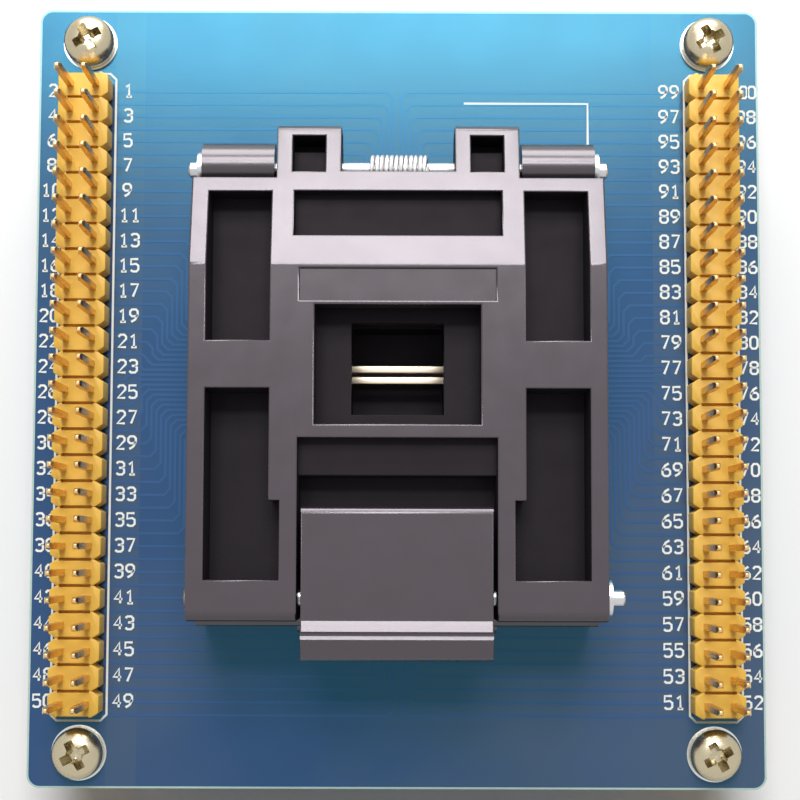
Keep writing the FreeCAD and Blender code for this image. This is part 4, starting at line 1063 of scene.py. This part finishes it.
class SOCKET_OT_springs(bpy.types.Operator):
    """Wind the lid's torsion spring, the latch's spring and the pad's two springs"""
    bl_idname = "socket.springs"
    bl_label = "Springs"

    def execute(self, context):
        settings = context.scene.socket_metal
        wire = settings.coil_wire / MM
        radius, half, base_leg_end, lid_leg_end = 2.55 / 2, 2.95, 17.55, 18.4
        left, right = -half + wire / 2, half - wire / 2
        coil = wound(settings.coil_turns, radius, 2 * half - wire, wire)
        coil = moved(coil, x=left, y=HINGE_Y, z=HINGE_Z, turn=quarter_turn("Y"))
        low, high = HINGE_Z - radius, HINGE_Z + radius
        base_leg = wire_path([
            (left, HINGE_Y, low), (left, HINGE_Y - 1.2, low - 0.02), (left, base_leg_end, low - 0.05)], wire)
        piece("torsion_coil", joined([coil, base_leg]), "board", "wire", ["lid_spring"])
        lid_leg = wire_path([
            (right, HINGE_Y, high), (right, HINGE_Y - 1.0, high + 0.02),
            (right, lid_leg_end, high + 0.02)], wire)
        piece("torsion_leg_lid", lid_leg, "lid", "wire")
        coil = wound(settings.latch_turns, 1.15, 2.4, 0.3)
        coil = moved(coil, y=LATCH_AXIS[0] + LATCH_LEVER, z=LATCH_SEAT + 0.2)
        spring = piece("latch_coil", coil, "lid", "wire", ["latch_spring"])
        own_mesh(spring)
        coils = []
        for sign in (1, -1):
            coil = wound(settings.pad_turns, 0.82, 1.04, 0.24, 14)
            coils.append(moved(coil, x=sign * PAD_PIN, y=CHIP_Y + sign * PAD_PIN, z=PAD_TOP + 0.18))
        spring = piece("pad_coils", joined(coils), "lid", "wire", ["pad_springs"])
        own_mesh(spring)
        return {"FINISHED"}


def ring_clip_mesh():
    """An E-clip about Z: three prongs grip the groove, and its mouth opens downwards, to -Y."""
    rim, hollow, grip = 1.7, 1.2, 0.76
    mouth, prong_half = math.radians(24), math.radians(22)
    prongs = (mouth - math.pi / 2, math.pi / 2, math.pi * 3 / 2 - mouth)

    def round_from_mouth(steps):
        return [mouth - math.pi / 2 + 2 * (math.pi - mouth) * step / steps for step in range(steps + 1)]

    outer = [(rim * math.cos(angle), rim * math.sin(angle)) for angle in round_from_mouth(28)]
    inner = []
    for angle in round_from_mouth(36):
        gripping = min(abs(angle - prong) for prong in prongs) < prong_half
        radius = grip if gripping else hollow
        inner.append((radius * math.cos(angle), radius * math.sin(angle)))
    return bevelled(extruded(outer + inner[::-1], -0.25, 0.25), 0.03 * MM, 1, 40)


def standing_clip(x, y, z):
    """An E-clip that stands across a shaft along X, with its mouth down."""
    clip = ring_clip_mesh()
    clip.transform(quarter_turn("X"))
    clip.transform(quarter_turn("Z"))
    return moved(clip, x=x, y=y, z=z)


def shaft_mesh(low, high, clips):
    """A ground shaft up the Z axis between two heights, with broken ends and a groove for each clip."""
    chamfer, groove, half_wide = 0.15, 0.14, 0.27
    bottom = SHAFT_RADIUS - groove
    profile = [(0, low), (SHAFT_RADIUS - chamfer, low), (SHAFT_RADIUS, low + chamfer)]
    for clip in clips:
        start, end = clip - half_wide, clip + half_wide
        profile += [(SHAFT_RADIUS, start), (bottom, start + 0.001)]
        profile += [(bottom, end - 0.001), (SHAFT_RADIUS, end)]
    profile += [(SHAFT_RADIUS, high - chamfer), (SHAFT_RADIUS - chamfer, high), (0, high)]
    return turned(profile)


class SOCKET_OT_shafts(bpy.types.Operator):
    """Fit the shafts, their clips, the pad's pins and the two gilt bars"""
    bl_idname = "socket.shafts"
    bl_label = "Shafts and clips"

    def execute(self, context):
        ends = (-BARREL_OUTER - CLIP_STANDS_OFF, BARREL_OUTER + CLIP_STANDS_OFF)
        rod = shaft_mesh(-HINGE_SHAFT_END, HINGE_SHAFT_END, ends)
        rod = moved(rod, y=HINGE_Y, z=HINGE_Z, turn=quarter_turn("Y"))
        piece("hinge_rod", rod, "board", "steel", ["hinge_shaft"])
        clips = [standing_clip(x, HINGE_Y, HINGE_Z) for x in ends]
        piece("hinge_clip_pair", joined(clips), "board", "steel", ["hinge_clips"])
        end = LID_HALF + CLIP_STANDS_OFF
        rod = shaft_mesh(-LID_HALF, LATCH_SHAFT_END, [end])
        head = turned([(0, -LID_HALF - 0.4), (0.9, -LID_HALF - 0.4), (1.15, -LID_HALF - 0.25),
                       (1.18, -LID_HALF), (0, -LID_HALF)])
        rod = moved(joined([rod, head]), y=LATCH_AXIS[0], z=LATCH_AXIS[1], turn=quarter_turn("Y"))
        piece("latch_rod", rod, "lid", "steel", ["latch_shaft"])
        piece("latch_clip_ring", standing_clip(end, *LATCH_AXIS), "lid", "steel",
              ["latch_clip"])
        pins = []
        for sign in (1, -1):
            pin = turned([(0, 6.98), (0.8, 6.98), (0.94, 7.1), (0.94, 7.36), (0.5, 7.4), (0.5, LID_ROOF),
                          (0, LID_ROOF)], 24)
            pins.append(moved(pin, x=sign * PAD_PIN, y=CHIP_Y + sign * PAD_PIN))
        piece("pad_pin_pair", joined(pins), "lid", "steel", ["pad_pins"])
        # The bars are drawn nearly square, so that their tops show as even bright bands.
        half, half_long, off_middle, level = 0.36, 5.3, 0.535, 4.25
        bars = []
        for side in (-1, 1):
            bar = extruded(rectangle(-half, half, -half, half), -half_long, half_long, along_x=True)
            bars.append(moved(bevelled(bar, 0.1 * MM, 3), y=CHIP_Y + side * off_middle, z=level))
        piece("gilt_bar_pair", joined(bars), "board", "gilt", ["well_bars"])
        return {"FINISHED"}


# The stage


class SOCKET_OT_stage(bpy.types.Operator):
    """Set the floor, the lights and the camera"""
    bl_idname = "socket.stage"
    bl_label = "Stage"

    def execute(self, context):
        settings = context.scene.socket_stage
        scene = context.scene
        scene.view_settings.view_transform = "Standard"
        bm = bmesh.new()
        reach = 2.0
        bm.faces.new([bm.verts.new((x, y, 0)) for x, y in rectangle(-reach, reach, -reach, reach)])
        floor = bpy.data.objects.new("floor", mesh_from("floor", bm))
        scene.collection.objects.link(floor)
        material, tree, shader, place = new_finish("pale_card", Roughness=0.8)
        coloured(tree, shader, place, 60, settings.floor, 0.01)
        # Between 70 and 260 mm from its middle the card fades into the white room, for the camera alone.
        fade = mapped(tree, vector_maths(tree, "LENGTH", place), From_Min=0.07, From_Max=0.26)
        camera_ray = add_node(tree, "ShaderNodeLightPath").outputs["Is Camera Ray"]
        white = add_node(tree, "ShaderNodeEmission", {"Color": (1, 1, 1, 1), "Strength": 1.0})
        both = add_node(tree, "ShaderNodeMixShader", {
            0: maths(tree, "MULTIPLY", fade, camera_ray), 1: shader.outputs["BSDF"], 2: white.outputs[0]})
        tree.links.new(both.outputs[0], tree.nodes["Material Output"].inputs["Surface"])
        floor.data.materials.append(material)
        world = bpy.data.worlds.new("soft_room")
        scene.world = world
        world.use_nodes = True
        tree = world.node_tree
        tree.nodes.clear()
        # The camera, and whatever mirrors the room or lets it show through, sees it as plain white.
        rays = add_node(tree, "ShaderNodeLightPath").outputs
        seen = rays["Is Camera Ray"]
        for other in ("Is Glossy Ray", "Is Transmission Ray"):
            seen = maths(tree, "MAXIMUM", seen, rays[other])
        level = mapped(tree, seen, To_Min=settings.fill_level, To_Max=1.0)
        sky = add_node(tree, "ShaderNodeBackground", {"Color": (1, 1, 1, 1), "Strength": level})
        add_node(tree, "ShaderNodeOutputWorld", {"Surface": sky.outputs[0]})
        # The lid's slope mirrors the key, and the board's hinge end mirrors the high light.
        self.lamp(scene, "key", 37.2, 0.44, 0.272, settings.key_power)
        self.lamp(scene, "high", 22.8, 0.57, 0.12, settings.high_power)
        self.lamp(scene, "low", 70, 0.8, 0.536, settings.low_power)
        self.camera(scene)
        return {"FINISHED"}

    def lamp(self, scene, name, tilt, width, depth, watts):
        """A soft rectangular light a metre off, leaning from overhead towards the hinge end by degrees."""
        light = bpy.data.lights.new(name, "AREA")
        light.shape, light.size, light.size_y, light.energy = "RECTANGLE", width, depth, watts
        lamp = bpy.data.objects.new(name, light)
        lean = math.radians(tilt)
        lamp.matrix_world = Matrix.Rotation(-lean, 4, "X") @ Matrix.Translation((-0.01, 0, 1.0))
        scene.collection.objects.link(lamp)

    def camera(self, scene):
        """The photograph's viewpoint, looking almost straight down."""
        data = bpy.data.cameras.new("camera")
        data.sensor_width = 36
        data.lens = FOCAL_OVER_WIDTH * data.sensor_width
        data.shift_x, data.shift_y = CAMERA_SHIFT
        data.clip_start, data.clip_end = 0.005, 20
        right0, up0 = Vector((1, 0, 0)), Vector((0, math.cos(CAMERA_TILT), math.sin(CAMERA_TILT)))
        turn, lean = math.cos(CAMERA_ROLL), math.sin(CAMERA_ROLL)
        right, up = turn * right0 + lean * up0, turn * up0 - lean * right0
        back = right.cross(up)
        eye = Vector((CAMERA_XY[0], CAMERA_XY[1], CAMERA_RISE + BOARD_TOP)) * MM
        camera = bpy.data.objects.new("camera", data)
        camera.matrix_world = Matrix.Translation(eye) @ Matrix((right, up, back)).transposed().to_4x4()
        scene.collection.objects.link(camera)
        scene.camera = camera


# The add-on

OPERATORS = (
    SOCKET_OT_board, SOCKET_OT_copper, SOCKET_OT_legend, SOCKET_OT_headers, SOCKET_OT_pins,
    SOCKET_OT_fixings, SOCKET_OT_mouldings, SOCKET_OT_comb, SOCKET_OT_contacts, SOCKET_OT_springs,
    SOCKET_OT_shafts, SOCKET_OT_stage,
)
SETTINGS = {
    "socket_board": SocketBoardSettings,
    "socket_header": SocketHeaderSettings,
    "socket_moulding": SocketMouldingSettings,
    "socket_metal": SocketMetalSettings,
    "socket_stage": SocketStageSettings,
}


class SOCKET_PT_panel(bpy.types.Panel):
    """Lists the socket's pieces and settings"""
    bl_idname = "SOCKET_PT_panel"
    bl_label = "IC programming socket"
    bl_space_type = "VIEW_3D"
    bl_region_type = "UI"
    bl_category = "Socket"

    def draw(self, context):
        layout = self.layout
        for operator in OPERATORS:
            layout.operator(operator.bl_idname)
        for name in SETTINGS:
            group = getattr(context.scene, name)
            box = layout.box()
            for prop in group.bl_rna.properties:
                if prop.identifier not in ("rna_type", "name"):
                    box.prop(group, prop.identifier)


def register():
    for name, group in SETTINGS.items():
        bpy.utils.register_class(group)
        setattr(bpy.types.Scene, name, bpy.props.PointerProperty(type=group))
    for item in OPERATORS + (SOCKET_PT_panel,):
        bpy.utils.register_class(item)


def unregister():
    for item in (SOCKET_PT_panel,) + OPERATORS[::-1]:
        bpy.utils.unregister_class(item)
    for name, group in SETTINGS.items():
        delattr(bpy.types.Scene, name)
        bpy.utils.unregister_class(group)


def main():
    register()
    for operator in OPERATORS:
        group, name = operator.bl_idname.split(".")
        getattr(getattr(bpy.ops, group), name)()


if __name__ == "__main__":
    main()
